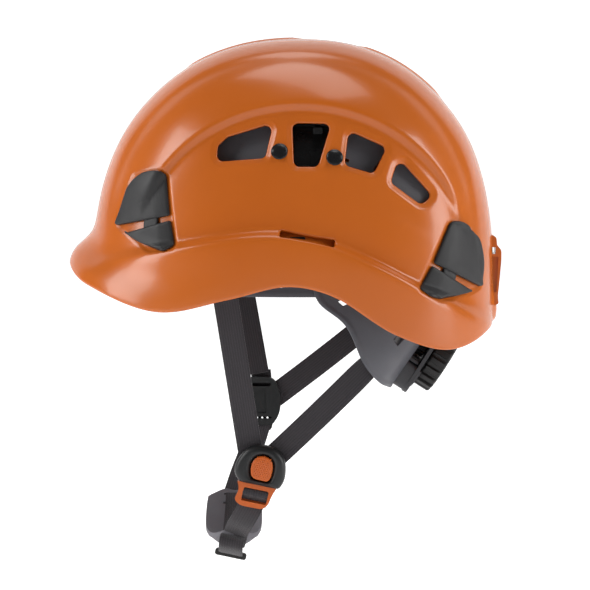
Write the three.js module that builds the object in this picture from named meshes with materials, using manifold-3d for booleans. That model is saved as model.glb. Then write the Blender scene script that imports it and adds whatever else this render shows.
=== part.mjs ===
// Climbing helmet: a hard shell with sliding vent shutters and lamp clips, a textile cradle,
// a headband with a nape adjuster wheel, and a chin strap with a push-button buckle.
// Millimetres, +Z up, front towards -X, left side towards -Y.
// The origin is the centre of the arcs on which the vent shutters slide.

import * as THREE from 'three';
import { mergeVertices } from 'three/addons/utils/BufferGeometryUtils.js';
import Module from 'manifold-3d';

const wasm = await Module();
wasm.setup();

// ---- Driving dimensions ------------------------------------------------------------------

const LEFT = -1;
const RIGHT = 1;
const SIDES = [['left', LEFT], ['right', RIGHT]];
const GAP = 0.4;

// The dome is a superellipsoid, longer towards the forehead than towards the nape.
const FRONT_LENGTH = 137;
const REAR_LENGTH = 128;
const HALF_WIDTH = 98;
const CROWN_HEIGHT = 153;
const SKIRT_DEPTH = 320;
const DOME_POWER = 2.25;
const SHELL_WALL = 2.8;
const RIM_TUCK = 0.3;
const SHELL_COLUMNS = 72;
const SHELL_ROWS = 17;

// Height of the rim at turns of degrees from the forehead: peak, ear arch, nape skirt.
const RIM_KNOTS = [[0, 4], [22, -9], [46, -22], [68, -13], [88, -4.5], [104, -11],
  [124, -35], [143, -46], [166, -36], [180, -31]];

// The brim flares at the forehead; the skirt flares below a ledge over the ears.
const BRIM_REACH = 17;
const BRIM_SPREAD = 35;
const BRIM_RISE = 12;
const BRIM_SOFTNESS = 4;
const SKIRT_REACH = 8;
const SKIRT_RISE = 28;
const SKIRT_SOFTNESS = 5;
const NAPE_SPREAD = 40;
const NAPE_FLATTENING = 0.8;

// Vents of one side, as corners (x, z), cut sideways through the shell.
const VENTS = [
  [[-50, 72.5], [-46.5, 86], [-13.8, 96], [-18.5, 75]],
  [[0, 69.5], [-1.5, 97], [23, 96.5], [15, 69.5]],
  [[32, 70.5], [34.5, 92], [58.5, 81.5], [50.5, 65]],
  [[61.5, 59.5], [66.5, 74.5], [87.5, 50.5], [81, 45]],
];
const VENT_CORNER = 4;
const ACCESSORY_SLOT = [[-8.5, 26], [-8.5, 29.5], [26, 23], [26, 19.5]];
const ACCESSORY_SLOT_CORNER = 1.5;
const CUT_INNER = 50;
const CUT_OUTER = 125;

// Shutters are cone sectors round the transverse axis through the origin.
const SHUTTER = { inner: 62, outer: 101, start: 29, end: 126, wall: 1.4 };
const SHUTTER_NEAR = { radius: 60, width: 85 };
const SHUTTER_FAR = { radius: 102, width: 65.6 };
const SHUTTER_TRAVEL = 5;
const SHUTTER_SLOT_SPARE = 0.5;
// Windows between the vents, as start and end angle and inner and outer radius.
const SHUTTER_WINDOWS = [[48.3, 53.6, 83, 95], [70, 75.8, 84, 96], [92.7, 98.5, 84, 96]];
const SHUTTER_STEPS = 26;
const WINDOW_STEPS = 4;
// Profile heights of a plug's head: underside, edge of the dome and top.
const PLUG_RADIUS = 5.3;
const PLUG_STEM = 1.6;
const PLUG_HEAD = { under: 0.7, edge: 1.6, shoulder: 2.2, shoulderShare: 0.8, top: 2.4 };
const DRILL_REACH = 12;
const PLUG_PLACES = [['front', -9.2, 77.7], ['rear', 25.2, 74.0]];
const TAB = { x: 12.6, z: 93.2, width: 6.6, height: 4, inner: 66.5, outer: 79.5 };

// Lamp clips as two wings and a neck, each a patch of the side wall with corners (x, z).
const CLIPS = {
  front: {
    upper: [[-114, 31], [-101.5, 62], [-82.5, 63.5], [-79, 37.5]],
    lower: [[-107.4, 25.4], [-78, 33.2], [-75.6, 18.5], [-93, 16.5]],
    neck: [[-96, 27], [-95, 36], [-86, 38], [-86, 29]],
  },
  rear: {
    upper: [[87.5, 8.5], [98, 32], [113, 26], [117.5, -7.5]],
    lower: [[86, 4.5], [79.5, -7.5], [93, -15.5], [109, -12]],
    neck: [[92, -3], [93, 7], [101, 3], [99, -6]],
  },
};
const CLIP_WALL = 3.2;
const CLIP_LIFT = 0.8;
const NECK_INSET = { under: 0.2, over: 0.8 };
const CLIP_STEPS = 5;
const NECK_STEPS = 2;

const BRACKET = { inner: 131, outer: 133.2, halfWidth: 13, bottom: -22.5, top: 20, corner: 4 };
const BRACKET_WINDOW = { halfWidth: 3, bottom: 8, top: 12.5 };

// Headband: an elliptical band, open at the nape.
const HEAD_CENTRE_X = -4;
const BAND_HALF_LENGTH = 98;
const BAND_HALF_WIDTH = 78;
const BAND_WALL = 1.6;
const BAND_BOTTOM = -14;
const BAND_TOP = 16;
const BAND_END = 112;
const BROW_PAD_WALL = 4;
const BROW_PAD_END = 50;
const BROW_PAD_MARGIN = 3;
const BAND_STEPS = 48;
const PAD_STEPS = 22;

const ANCHORS = [['front', 42], ['side', 92], ['rear', 138]];
const ANCHOR_HALF_WIDTH = 8;
const ANCHOR_BOTTOM = 2;
const ANCHOR_TOP = 25;
const ANCHOR_CLEARANCE = { band: 1.2, shell: 1.6, step: 0.25 };

// Cradle straps lie on an ellipsoid over the headband and cross at the crown.
const CRADLE_STAND_OFF = 5;
const CRADLE_HEIGHT = 108;
const CRADLE_BOTTOM = 26;
const CRADLE_WIDTH = 18;
const CRADLE_WALL = 1.1;
const CRADLE_STEP = 2.1;
const CRADLE_STRAPS = [['crown_strap_cross', 'side', 0], ['crown_strap_diagonal_a', 'front', 1],
  ['crown_strap_diagonal_b', 'rear', 2]];
const CRADLE_STEPS = 16;
const CROWN_PAD = { halfLength: 42, halfWidth: 32, height: 5, drop: 13, belowStraps: 2.1 };
const CROWN_PAD_RINGS = [0, 0.35, 0.7, 0.92];

// Nape assembly, tilting on pins at the sides of the headband.
const NAPE_PIVOT = { x: 30, y: 76.5, z: -2 };
const ARM_WALL = 2;
const ARM_FRONT_EDGE = [[21, 79, 6], [24, 78.5, -14], [35, 75, -34], [43, 66, -57], [52, 49, -70], [59, 27, -76]];
const ARM_REAR_EDGE = [[44, 75, 10], [56, 71, -2], [66, 64.5, -16], [73, 55, -31], [79, 42, -40], [81.5, 27, -43]];
const PIN_RADIUS = 2.5;
const PIN_HEAD_RADIUS = 5.5;
const PIN = { foot: 4.2, under: 6.4, edge: 8, top: 8.6 };
const ARM_STEPS = 12;
const ARM_ACROSS = [0, 0.33, 0.67, 1];

// Adjuster wheel, with its axis leaning down towards the rear.
const WHEEL_CENTRE = new THREE.Vector3(92.5, 0, -59.5);
const WHEEL_AXIS = new THREE.Vector3(0.846, 0, -0.533).normalize();
const WHEEL_RADIUS = 23;
const WHEEL_GRIP_DEPTH = 2;
const WHEEL_GRIPS = 20;
const GRIP_SHARE = 0.5;
const FLANK_SHARE = 0.08;
const WHEEL_WALL = 12;
const HOUSING = { bottom: -31, top: 16, halfWidth: 24, front: -25, back: -7.2, corner: 6 };
const RACK_CAVITY = { halfHeight: 10.5, front: -19.6, back: -9.6, corner: 1 };
const COVER_INSET = 1;
const NAPE_PAD_INSET = 4;
const COVER_WALL = 2;
const NAPE_PAD_WALL = 5;
const PINION_RADIUS = 6;
const PINION_TOOTH = 1.3;
const PINION_TEETH = 14;
const PINION_SHARE = 0.4;
const RACK_SIDE_GAP = 1;
const SHAFT_RADIUS = 3.5;
const RACK = { bottom: 6.4, root: 7.6, top: 9.9, inner: -8, outer: 22.5, pitch: 3, tooth: 1.3 };

// Chin straps.
const WEB_WIDTH = 16;
const WEB_WALL = 1.3;
const FRONT_STRAP_TOP = [[-48, 88, 9], [-43.5, 78, -12], [-41.5, 74.5, -20]];
const FRONT_STRAP_END = { left: [-30.5, 55, -110.5], right: [-32, 60, -77] };
const REAR_STRAP_END = { left: [-13, 55, -112.6], right: [-14.5, 60, -84] };
const REAR_STRAP_TOP = { left: [43.9, 55, -56.1], right: [45.8, 62.5, -37.9] };
const FRONT_STRAP_STEPS = 8;

// Buckle, in its own plane: x across, y up along the webbing, z outwards.
const BUCKLE_CENTRE = new THREE.Vector3(-22.8, -55, -125.3);
const BUCKLE_TILT = THREE.MathUtils.degToRad(11.5);
const BUCKLE = { halfWidth: 15.3, top: 12.8, bottom: -11.2, halfWall: 5, corner: 3 };
const BUCKLE_WAIST = { bottomHalf: 11.5, bottomRise: 7, shoulder: 3, topHalf: 9 };
const BUTTON = { x: 1, y: -1.8, halfWidth: 6.9, halfHeight: 6.6, front: 6.2, back: 1, corner: 5 };
const BUTTON_POCKET_FLOOR = -3.4;
const BUTTON_CLEARANCE = 0.4;
const SPRING_RADIUS = 3.2;
const TONGUE = { halfWidth: 12.5, top: -11.8, bottom: -26.5, halfWall: 1.6, frameHalfWall: 2.6, corner: 3.5 };
const TONGUE_WINDOW = { halfWidth: 8.4, top: -15.2, bottom: -23.4, corner: 1 };
const PRONG = { inner: 8.4, outer: 11, top: 3, corner: 0.8 };
const PRONG_CLEARANCE = 0.5;

const CHIN_STRAP_LEFT = [[-31, 54.6, -154], [-34.5, 49.5, -160.5], [-38.5, 41, -168.5], [-40.3, 36, -173]];
const CHIN_STRAP_RIGHT = [[-31.5, 60, -115.2], [-37, 52, -132], [-42, 46, -145], [-45.5, 41.5, -155]];
// The cup's keel runs from its near end to its far end, sagging between them and rising to the far side.
const CHIN_CUP = { near: -33, far: 38, wall: 2.4, halfWidth: 19, taper: 0.25, rim: 10, x: -43, drift: 3 };
const CUP_KEEL = { z: -181.5, sag: 5, rise: 25, power: 1.5 };
const CUP_STEPS = [12, 8];
const STRAP_TIP = { x: -45, y: -22, z: -188.6, halfWidth: 10.5, halfHeight: 2.2, halfWall: 1.5, corner: 1, tilt: -0.2 };

// Divider on the right side, with a cam lever that grips the webbing.
const DIVIDER_CENTRE = new THREE.Vector3(-29, 60, -96);
const DIVIDER = { halfWidth: 13.2, halfHeight: 17, halfWall: 2.4 };
const DIVIDER_SLOTS = [11.5, -11.5];
const SLOT_HALF = { width: 6.4, height: 1.2, corner: 0.8 };
const LEVER = { halfWidth: 7.5, top: 5, bottom: -21.5, wall: 2.6, corner: 3, clearance: 1 };
const LEVER_PIN = { radius: 0.7, drop: 1.5, clearance: 0.15 };
const PIN_SIDES = 10;
const BORE_SIDES = 16;
const DRILL_SIDES = 12;
const TURNED_SIDES = 20;
const CURVE_STEPS = 6;
const CORNER_STEPS = 3;
const ROUND_STEPS = 8;
const CUT_PAST = 1;

// ---- Materials ---------------------------------------------------------------------------

const material = (color, roughness, metalness = 0) => (
  new THREE.MeshStandardMaterial({ color, roughness, metalness }));
const ORANGE = material(0xd8701f, 0.28);
const BLACK = material(0x2c2b2b, 0.5);
const DARK_GREY = material(0x4b4a50, 0.55);
const MID_GREY = material(0x6e6e70, 0.6);
const WEBBING = material(0x3a3538, 0.9);
const FOAM = material(0x333236, 0.95);
const STEEL = material(0xb8b8ba, 0.35, 0.9);

// ---- Geometry helpers --------------------------------------------------------------------

const mirrored = (points, side) => points.map(([x, y, z]) => new THREE.Vector3(x, side * y, z));
const lerp = THREE.MathUtils.lerp;
const radians = THREE.MathUtils.degToRad;

function closedGeometry(points, faces) {
  let volume = 0;
  for (const [a, b, c] of faces) {
    volume += points[a].dot(points[b].clone().cross(points[c]));
  }
  const index = faces.flatMap(([a, b, c]) => (volume > 0 ? [a, b, c] : [a, c, b]));
  const geometry = new THREE.BufferGeometry();
  geometry.setAttribute('position', new THREE.Float32BufferAttribute(points.flatMap((p) => p.toArray()), 3));
  geometry.setIndex(index);
  return geometry;
}

// A body between two grids of points; wrap joins the last column to the first.
function slab(front, back, wrap = false) {
  const rows = front.length;
  const columns = front[0].length;
  const spans = wrap ? columns : columns - 1;
  const points = [...front.flat(), ...back.flat()];
  const at = (layer, row, column) => layer * rows * columns + row * columns + (column % columns);
  const faces = [];
  const quad = (a, b, c, d) => faces.push([a, b, c], [a, c, d]);
  for (let row = 0; row < rows - 1; row += 1) {
    for (let column = 0; column < spans; column += 1) {
      quad(at(0, row, column), at(0, row, column + 1), at(0, row + 1, column + 1), at(0, row + 1, column));
      quad(at(1, row, column), at(1, row + 1, column), at(1, row + 1, column + 1), at(1, row, column + 1));
    }
  }
  for (const [row, flip] of [[0, false], [rows - 1, true]]) {
    for (let column = 0; column < spans; column += 1) {
      const edge = [at(0, row, column), at(1, row, column), at(1, row, column + 1), at(0, row, column + 1)];
      quad(...(flip ? edge.reverse() : edge));
    }
  }
  if (!wrap) {
    for (const [column, flip] of [[0, true], [columns - 1, false]]) {
      for (let row = 0; row < rows - 1; row += 1) {
        const edge = [at(0, row, column), at(1, row, column), at(1, row + 1, column), at(0, row + 1, column)];
        quad(...(flip ? edge.reverse() : edge));
      }
    }
  }
  return closedGeometry(points, faces);
}

// A flat band along a path; across is the direction of its width at the start and at the end.
function strap(points, acrossStart, acrossEnd, width, wall, steps = CURVE_STEPS) {
  const path = new THREE.CatmullRomCurve3(points);
  const front = [];
  const back = [];
  for (let step = 0; step <= steps; step += 1) {
    const share = step / steps;
    const centre = path.getPointAt(share);
    const tangent = path.getTangentAt(share);
    const across = acrossStart.clone().lerp(acrossEnd, share);
    across.addScaledVector(tangent, -across.dot(tangent)).normalize();
    const normal = tangent.clone().cross(across);
    const corner = (w, n) => centre.clone().addScaledVector(across, (w * width) / 2)
      .addScaledVector(normal, (n * wall) / 2);
    front.push([corner(-1, 1), corner(1, 1)]);
    back.push([corner(-1, -1), corner(1, -1)]);
  }
  return slab(front, back);
}

// An outline with every corner rounded by the same radius.
function roundedShape(corners, radius) {
  const shape = new THREE.Shape();
  corners.forEach((corner, index) => {
    const here = new THREE.Vector2(...corner);
    const before = new THREE.Vector2(...corners.at(index - 1));
    const after = new THREE.Vector2(...corners[(index + 1) % corners.length]);
    const start = here.clone().add(before.sub(here).setLength(radius));
    const end = here.clone().add(after.sub(here).setLength(radius));
    if (index === 0) {
      shape.moveTo(start.x, start.y);
    } else {
      shape.lineTo(start.x, start.y);
    }
    shape.quadraticCurveTo(here.x, here.y, end.x, end.y);
  });
  shape.closePath();
  return shape;
}

const rectangle = (left, bottom, right, top) => [[left, bottom], [right, bottom], [right, top], [left, top]];

// An outline drawn in a plane of its own and thickened along that plane's normal.
function plate(shape, from, to, frame, curveSegments = CORNER_STEPS) {
  const geometry = new THREE.ExtrudeGeometry(shape, { depth: to - from, bevelEnabled: false, curveSegments });
  geometry.translate(0, 0, from);
  return geometry.applyMatrix4(frame);
}

const planeFrame = (origin, x, y) => new THREE.Matrix4().makeBasis(x, y, x.clone().cross(y)).setPosition(origin);
const X_AXIS = new THREE.Vector3(1, 0, 0);
const Y_AXIS = new THREE.Vector3(0, 1, 0);
const Z_AXIS = new THREE.Vector3(0, 0, 1);
// Outlines in x and z, thickened towards -Y.
const SIDE_PLANE = planeFrame(new THREE.Vector3(), X_AXIS, Z_AXIS);

// A turned body: profile points are (radius, height), with height measured along the axis.
function turned(profile, origin, axis, segments = TURNED_SIDES) {
  const geometry = new THREE.LatheGeometry(profile.map(([r, h]) => new THREE.Vector2(r, h)), segments);
  geometry.applyQuaternion(new THREE.Quaternion().setFromUnitVectors(Y_AXIS, axis));
  return geometry.translate(origin.x, origin.y, origin.z);
}

// A round bar centred on a point.
const rod = (radius, reach, centre, axis, segments) => turned(
  [[0, -reach], [radius, -reach], [radius, reach], [0, reach]], centre, axis, segments);

function solid(geometry) {
  const bare = geometry.clone();
  bare.deleteAttribute('normal');
  bare.deleteAttribute('uv');
  const merged = mergeVertices(bare, 1e-4);
  return new wasm.Manifold(new wasm.Mesh({
    numProp: 3,
    vertProperties: new Float32Array(merged.attributes.position.array),
    triVerts: new Uint32Array(merged.index.array),
  }));
}

function geometryOf(body) {
  const mesh = body.getMesh();
  const geometry = new THREE.BufferGeometry();
  geometry.setAttribute('position', new THREE.BufferAttribute(mesh.vertProperties, 3));
  geometry.setIndex(new THREE.BufferAttribute(mesh.triVerts, 1));
  return geometry;
}

const cut = (geometry, cutters) => geometryOf(
  cutters.reduce((body, cutter) => body.subtract(solid(cutter)), solid(geometry)));
const joined = (parts) => geometryOf(
  parts.slice(1).reduce((body, part) => body.add(solid(part)), solid(parts[0])));

const helmet = new THREE.Group();

function add(name, geometry, finish) {
  const mesh = new THREE.Mesh(geometry, finish);
  mesh.name = name;
  helmet.add(mesh);
}

// ---- Shell surface -----------------------------------------------------------------------

// Turn is the angle in degrees from the forehead, the same to either side.
function rimHeight(turn) {
  const last = RIM_KNOTS.length - 1;
  const index = Math.min(last - 1, RIM_KNOTS.findLastIndex(([knot]) => knot <= turn));
  const [start, low] = RIM_KNOTS[index];
  const [end, high] = RIM_KNOTS[index + 1];
  const slope = (at) => {
    if (at === 0 || at === last) return 0;
    return (RIM_KNOTS[at + 1][1] - RIM_KNOTS[at - 1][1]) / (RIM_KNOTS[at + 1][0] - RIM_KNOTS[at - 1][0]);
  };
  const span = end - start;
  const t = (turn - start) / span;
  const rise = (3 - 2 * t) * t * t;
  return lerp(low, high, rise) + span * t * (1 - t) * (slope(index) * (1 - t) - slope(index + 1) * t);
}

const softStep = (height, rise, softness) => 1 / (1 + Math.exp((height - rise) / softness));

function flare(turn, height) {
  const brow = Math.exp(-((turn / BRIM_SPREAD) ** 2));
  const nape = NAPE_FLATTENING * Math.exp(-(((180 - turn) / NAPE_SPREAD) ** 2));
  return BRIM_REACH * brow * softStep(height, BRIM_RISE, BRIM_SOFTNESS)
    + SKIRT_REACH * (1 - brow) * (1 - nape) * softStep(height, SKIRT_RISE, SKIRT_SOFTNESS);
}

// Distance of the shell's surface from the Z axis; inset moves it inwards.
function shellReach(turn, z, inset = 0) {
  const angle = radians(turn);
  const length = (turn < 90 ? FRONT_LENGTH : REAR_LENGTH) - inset;
  const height = z > 0 ? CROWN_HEIGHT - inset : SKIRT_DEPTH;
  const level = Math.max(0, 1 - Math.abs(z / height) ** DOME_POWER);
  const plan = Math.abs(Math.cos(angle) / length) ** DOME_POWER
    + Math.abs(Math.sin(angle) / (HALF_WIDTH - inset)) ** DOME_POWER;
  return (level / plan) ** (1 / DOME_POWER) + flare(turn, z - rimHeight(turn));
}

const turnOf = (x, y) => THREE.MathUtils.radToDeg(Math.atan2(Math.abs(y), -x));
const polar = (reach, turn, side, z) => new THREE.Vector3(
  -reach * Math.cos(radians(turn)), side * reach * Math.sin(radians(turn)), z);

// The point of the side wall at x and z, and the same point moved out along the wall's normal.
function sidePoint(x, z, side, lift) {
  const wallY = (px, pz) => {
    let inner = 0;
    let outer = CUT_OUTER;
    while (outer - inner > 1e-3) {
      const y = (inner + outer) / 2;
      if (Math.hypot(px, y) < shellReach(turnOf(px, y), pz)) {
        inner = y;
      } else {
        outer = y;
      }
    }
    return inner;
  };
  const y = wallY(x, z);
  const normal = new THREE.Vector3(y - wallY(x + 1, z), 1, y - wallY(x, z + 1)).normalize();
  return new THREE.Vector3(x + normal.x * lift, side * (y + normal.y * lift), z + normal.z * lift);
}

function sidePatch(corners, side, inner, outer, steps) {
  const [a, b, c, d] = corners;
  const grid = (lift) => Array.from({ length: steps + 1 }, (_, i) => Array.from({ length: steps + 1 }, (__, j) => {
    const [u, v] = [i / steps, j / steps];
    const x = lerp(lerp(a[0], d[0], u), lerp(b[0], c[0], u), v);
    const z = lerp(lerp(a[1], d[1], u), lerp(b[1], c[1], u), v);
    return sidePoint(x, z, side, lift);
  }));
  return slab(grid(outer), grid(inner));
}

// ---- Shell -------------------------------------------------------------------------------

function sideCutter(corners, radius, side) {
  const [from, to] = side === LEFT ? [CUT_INNER, CUT_OUTER] : [-CUT_OUTER, -CUT_INNER];
  return plate(roundedShape(corners, radius), from, to, SIDE_PLANE);
}

function shellGrid(inset) {
  return Array.from({ length: SHELL_ROWS }, (_, row) => Array.from({ length: SHELL_COLUMNS }, (__, column) => {
    const around = (column / SHELL_COLUMNS) * 360;
    const turn = around <= 180 ? around : 360 - around;
    const rise = Math.sin(((row / SHELL_ROWS) * Math.PI) / 2);
    const z = lerp(rimHeight(turn), CROWN_HEIGHT - inset, rise);
    const tuck = row === 0 && inset > 0 ? RIM_TUCK : 0;
    const point = polar(shellReach(turn, z, inset) - tuck, turn, RIGHT, z);
    point.y *= around <= 180 ? RIGHT : LEFT;
    return point;
  }));
}

// The shell is one skin, open below, with its crown closed by a fan on each face.
function shellBody() {
  const outer = shellGrid(0);
  const inner = shellGrid(SHELL_WALL);
  const layer = SHELL_ROWS * SHELL_COLUMNS;
  const points = [...outer.flat(), ...inner.flat(),
    new THREE.Vector3(0, 0, CROWN_HEIGHT), new THREE.Vector3(0, 0, CROWN_HEIGHT - SHELL_WALL)];
  const faces = [];
  for (let column = 0; column < SHELL_COLUMNS; column += 1) {
    const next = (column + 1) % SHELL_COLUMNS;
    const quad = (a, b, c, d) => faces.push([a, b, c], [a, c, d]);
    for (let row = 0; row < SHELL_ROWS - 1; row += 1) {
      const base = row * SHELL_COLUMNS;
      const above = base + SHELL_COLUMNS;
      quad(base + column, base + next, above + next, above + column);
      quad(layer + base + column, layer + above + column, layer + above + next, layer + base + next);
    }
    quad(column, layer + column, layer + next, next);
    const top = (SHELL_ROWS - 1) * SHELL_COLUMNS;
    faces.push([top + column, top + next, 2 * layer]);
    faces.push([layer + top + next, layer + top + column, 2 * layer + 1]);
  }
  return closedGeometry(points, faces);
}

// Plugs stand square to the cone that the shutters slide on.
const shutterSlope = (SHUTTER_NEAR.width - SHUTTER_FAR.width) / (SHUTTER_FAR.radius - SHUTTER_NEAR.radius);
const shutterWidth = (radius) => SHUTTER_NEAR.width - shutterSlope * (radius - SHUTTER_NEAR.radius);

function plugAxis(x, z, side) {
  const radius = Math.hypot(x, z);
  return new THREE.Vector3((shutterSlope * x) / radius, side, (shutterSlope * z) / radius).normalize();
}

// Depth of the shutter's cone under a plug's head, measured along the plug.
function plugDepth(x, z) {
  return (sidePoint(x, z, RIGHT, 0).y - shutterWidth(Math.hypot(x, z))) / Math.hypot(1, shutterSlope);
}

function makeShell() {
  const cutters = [];
  for (const [, side] of SIDES) {
    VENTS.forEach((corners) => cutters.push(sideCutter(corners, VENT_CORNER, side)));
    cutters.push(sideCutter(ACCESSORY_SLOT, ACCESSORY_SLOT_CORNER, side));
    for (const [, x, z] of PLUG_PLACES) {
      const axis = plugAxis(x, z, side);
      cutters.push(rod(PLUG_STEM + GAP, DRILL_REACH, sidePoint(x, z, side, 0), axis, DRILL_SIDES));
    }
  }
  add('outer_shell', cut(shellBody(), cutters), ORANGE);
}

function makePlugs() {
  const { under, edge, shoulder, shoulderShare, top } = PLUG_HEAD;
  for (const [place, x, z] of PLUG_PLACES) {
    for (const [label, side] of SIDES) {
      const foot = -plugDepth(x, z) - 2 * SHUTTER.wall;
      const head = [[0, foot], [PLUG_STEM, foot], [PLUG_STEM, under], [PLUG_RADIUS, under],
        [PLUG_RADIUS, edge], [PLUG_RADIUS * shoulderShare, shoulder], [0, top]];
      add(`guide_plug_${place}_${label}`, turned(head, sidePoint(x, z, side, 0), plugAxis(x, z, side)), BLACK);
    }
  }
}

function makeShutters() {
  for (const [label, side] of SIDES) {
    const conePoint = (radius, angle, depth) => new THREE.Vector3(
      radius * Math.cos(radians(angle)), side * (shutterWidth(radius) - depth), radius * Math.sin(radians(angle)));
    const sector = (start, end, inner, outer, near, far, steps) => {
      const face = (depth) => Array.from({ length: steps + 1 }, (_, i) => [inner, outer].map(
        (radius) => conePoint(radius, lerp(start, end, i / steps), depth)));
      return slab(face(near), face(far));
    };
    const { inner, outer, start, end, wall } = SHUTTER;
    const through = [-wall, 2 * wall];
    const windows = SHUTTER_WINDOWS.map(([a, b, low, high]) => sector(a, b, low, high, ...through, WINDOW_STEPS));
    const slots = PLUG_PLACES.map(([, x, z]) => {
      const middle = THREE.MathUtils.radToDeg(Math.atan2(z, x));
      const radius = Math.hypot(x, z) - (shutterSlope * plugDepth(x, z)) / Math.hypot(1, shutterSlope);
      const stem = PLUG_STEM + 2 * GAP;
      const ends = THREE.MathUtils.radToDeg(stem / radius) + SHUTTER_SLOT_SPARE;
      return sector(middle - SHUTTER_TRAVEL - ends, middle + ends, radius - stem, radius + stem,
        ...through, WINDOW_STEPS);
    });
    const blade = cut(sector(start, end, inner, outer, 0, wall, SHUTTER_STEPS), [...windows, ...slots]);
    const outline = roundedShape(rectangle(TAB.x - TAB.width / 2, TAB.z - TAB.height / 2,
      TAB.x + TAB.width / 2, TAB.z + TAB.height / 2), 1);
    const [from, to] = side === LEFT ? [TAB.inner, TAB.outer] : [-TAB.outer, -TAB.inner];
    add(`${label}_vent_shutter`, joined([blade, plate(outline, from, to, SIDE_PLANE)]), DARK_GREY);
  }
}

function makeClips() {
  for (const [place, wings] of Object.entries(CLIPS)) {
    for (const [label, side] of SIDES) {
      const wing = (corners) => sidePatch(corners, side, CLIP_LIFT, CLIP_LIFT + CLIP_WALL, CLIP_STEPS);
      const neck = sidePatch(wings.neck, side, CLIP_LIFT + NECK_INSET.under,
        CLIP_LIFT + CLIP_WALL - NECK_INSET.over, NECK_STEPS);
      add(`lamp_clip_${place}_${label}`, joined([wing(wings.upper), wing(wings.lower), neck]), BLACK);
    }
  }
}

function makeBracket() {
  const { inner, outer, halfWidth, bottom, top, corner } = BRACKET;
  const window = BRACKET_WINDOW;
  const facing = planeFrame(new THREE.Vector3(), Y_AXIS, Z_AXIS);
  const outline = roundedShape(rectangle(-halfWidth, bottom, halfWidth, top), corner);
  const opening = rectangle(-window.halfWidth, window.bottom, window.halfWidth, window.top);
  outline.holes.push(new THREE.Path(opening.map((corners) => new THREE.Vector2(...corners))));
  add('rear_bracket', plate(outline, inner, outer, facing), ORANGE);
}

// ---- Headband and cradle -----------------------------------------------------------------

function bandReach(turn, offset) {
  const angle = radians(turn);
  return 1 / Math.hypot(Math.cos(angle) / (BAND_HALF_LENGTH + offset), Math.sin(angle) / (BAND_HALF_WIDTH + offset));
}

function bandPoint(turn, offset, side, z) {
  const point = polar(bandReach(turn, offset), turn, side, z);
  point.x += HEAD_CENTRE_X;
  return point;
}

function bandSection(start, end, inner, outer, bottom, top, steps) {
  const face = (offset) => Array.from({ length: steps + 1 }, (_, step) => {
    const turn = lerp(start, end, step / steps);
    return [bottom, top].map((z) => bandPoint(turn, offset, RIGHT, z));
  });
  return slab(face(outer), face(inner));
}

function makeHeadband() {
  add('headband', bandSection(-BAND_END, BAND_END, 0, BAND_WALL, BAND_BOTTOM, BAND_TOP, BAND_STEPS),
    DARK_GREY);
  add('brow_pad', bandSection(-BROW_PAD_END, BROW_PAD_END, -GAP - BROW_PAD_WALL, -GAP,
    BAND_BOTTOM + BROW_PAD_MARGIN, BAND_TOP - BROW_PAD_MARGIN, PAD_STEPS), FOAM);
}

function makeAnchors() {
  const { band, shell, step } = ANCHOR_CLEARANCE;
  for (const [place, turn] of ANCHORS) {
    for (const [label, side] of SIDES) {
      const inward = bandReach(turn, BAND_WALL + GAP + band);
      const centre = new THREE.Vector3(HEAD_CENTRE_X, 0, 0);
      const outward = polar(1, turn, side, 0);
      const across = Z_AXIS.clone().cross(outward);
      const reachAt = (z, w) => {
        const probe = centre.clone().addScaledVector(across, w).addScaledVector(outward, inward);
        let reach = inward;
        while (Math.hypot(probe.x, probe.y) < shellReach(turnOf(probe.x, probe.y), z) - SHELL_WALL - shell) {
          probe.addScaledVector(outward, step);
          reach += step;
        }
        return reach;
      };
      const heights = [ANCHOR_BOTTOM, ANCHOR_TOP];
      const spots = [-ANCHOR_HALF_WIDTH, 0, ANCHOR_HALF_WIDTH];
      const face = (reach) => heights.map((z) => spots.map((w) => centre.clone().setZ(z)
        .addScaledVector(across, w).addScaledVector(outward, reach(z, w))));
      add(`anchor_${place}_${label}`, slab(face(reachAt), face(() => inward)), BLACK);
    }
  }
}

function makeCradle() {
  for (const [name, place, layer] of CRADLE_STRAPS) {
    const [, turn] = ANCHORS.find(([label]) => label === place);
    const reach = bandReach(turn, CRADLE_STAND_OFF);
    const height = CRADLE_HEIGHT + layer * CRADLE_STEP;
    const start = Math.asin(CRADLE_BOTTOM / height);
    const outward = polar(1, turn, RIGHT, 0);
    const points = Array.from({ length: CRADLE_STEPS + 1 }, (_, step) => {
      const angle = lerp(start, Math.PI - start, step / CRADLE_STEPS);
      return new THREE.Vector3(HEAD_CENTRE_X, 0, height * Math.sin(angle))
        .addScaledVector(outward, reach * Math.cos(angle));
    });
    const across = Z_AXIS.clone().cross(outward);
    add(name, strap(points, across, across, CRADLE_WIDTH, CRADLE_WALL, CRADLE_STEPS + CURVE_STEPS), WEBBING);
  }
  const { halfLength, halfWidth, height, drop, belowStraps } = CROWN_PAD;
  const upper = CROWN_PAD_RINGS.map((share) => [share, -drop * share * share]);
  const lower = CROWN_PAD_RINGS.map((share) => [share, -drop * share * share - height * (1 - share ** 4)]);
  const profile = [...lower, [1, -drop], ...upper.reverse()];
  const pad = turned(profile, new THREE.Vector3(), Z_AXIS, 24);
  pad.scale(halfLength, halfWidth, 1).translate(HEAD_CENTRE_X, 0, CRADLE_HEIGHT - belowStraps);
  add('crown_pad', pad, FOAM);
}

// ---- Nape assembly -----------------------------------------------------------------------

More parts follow.
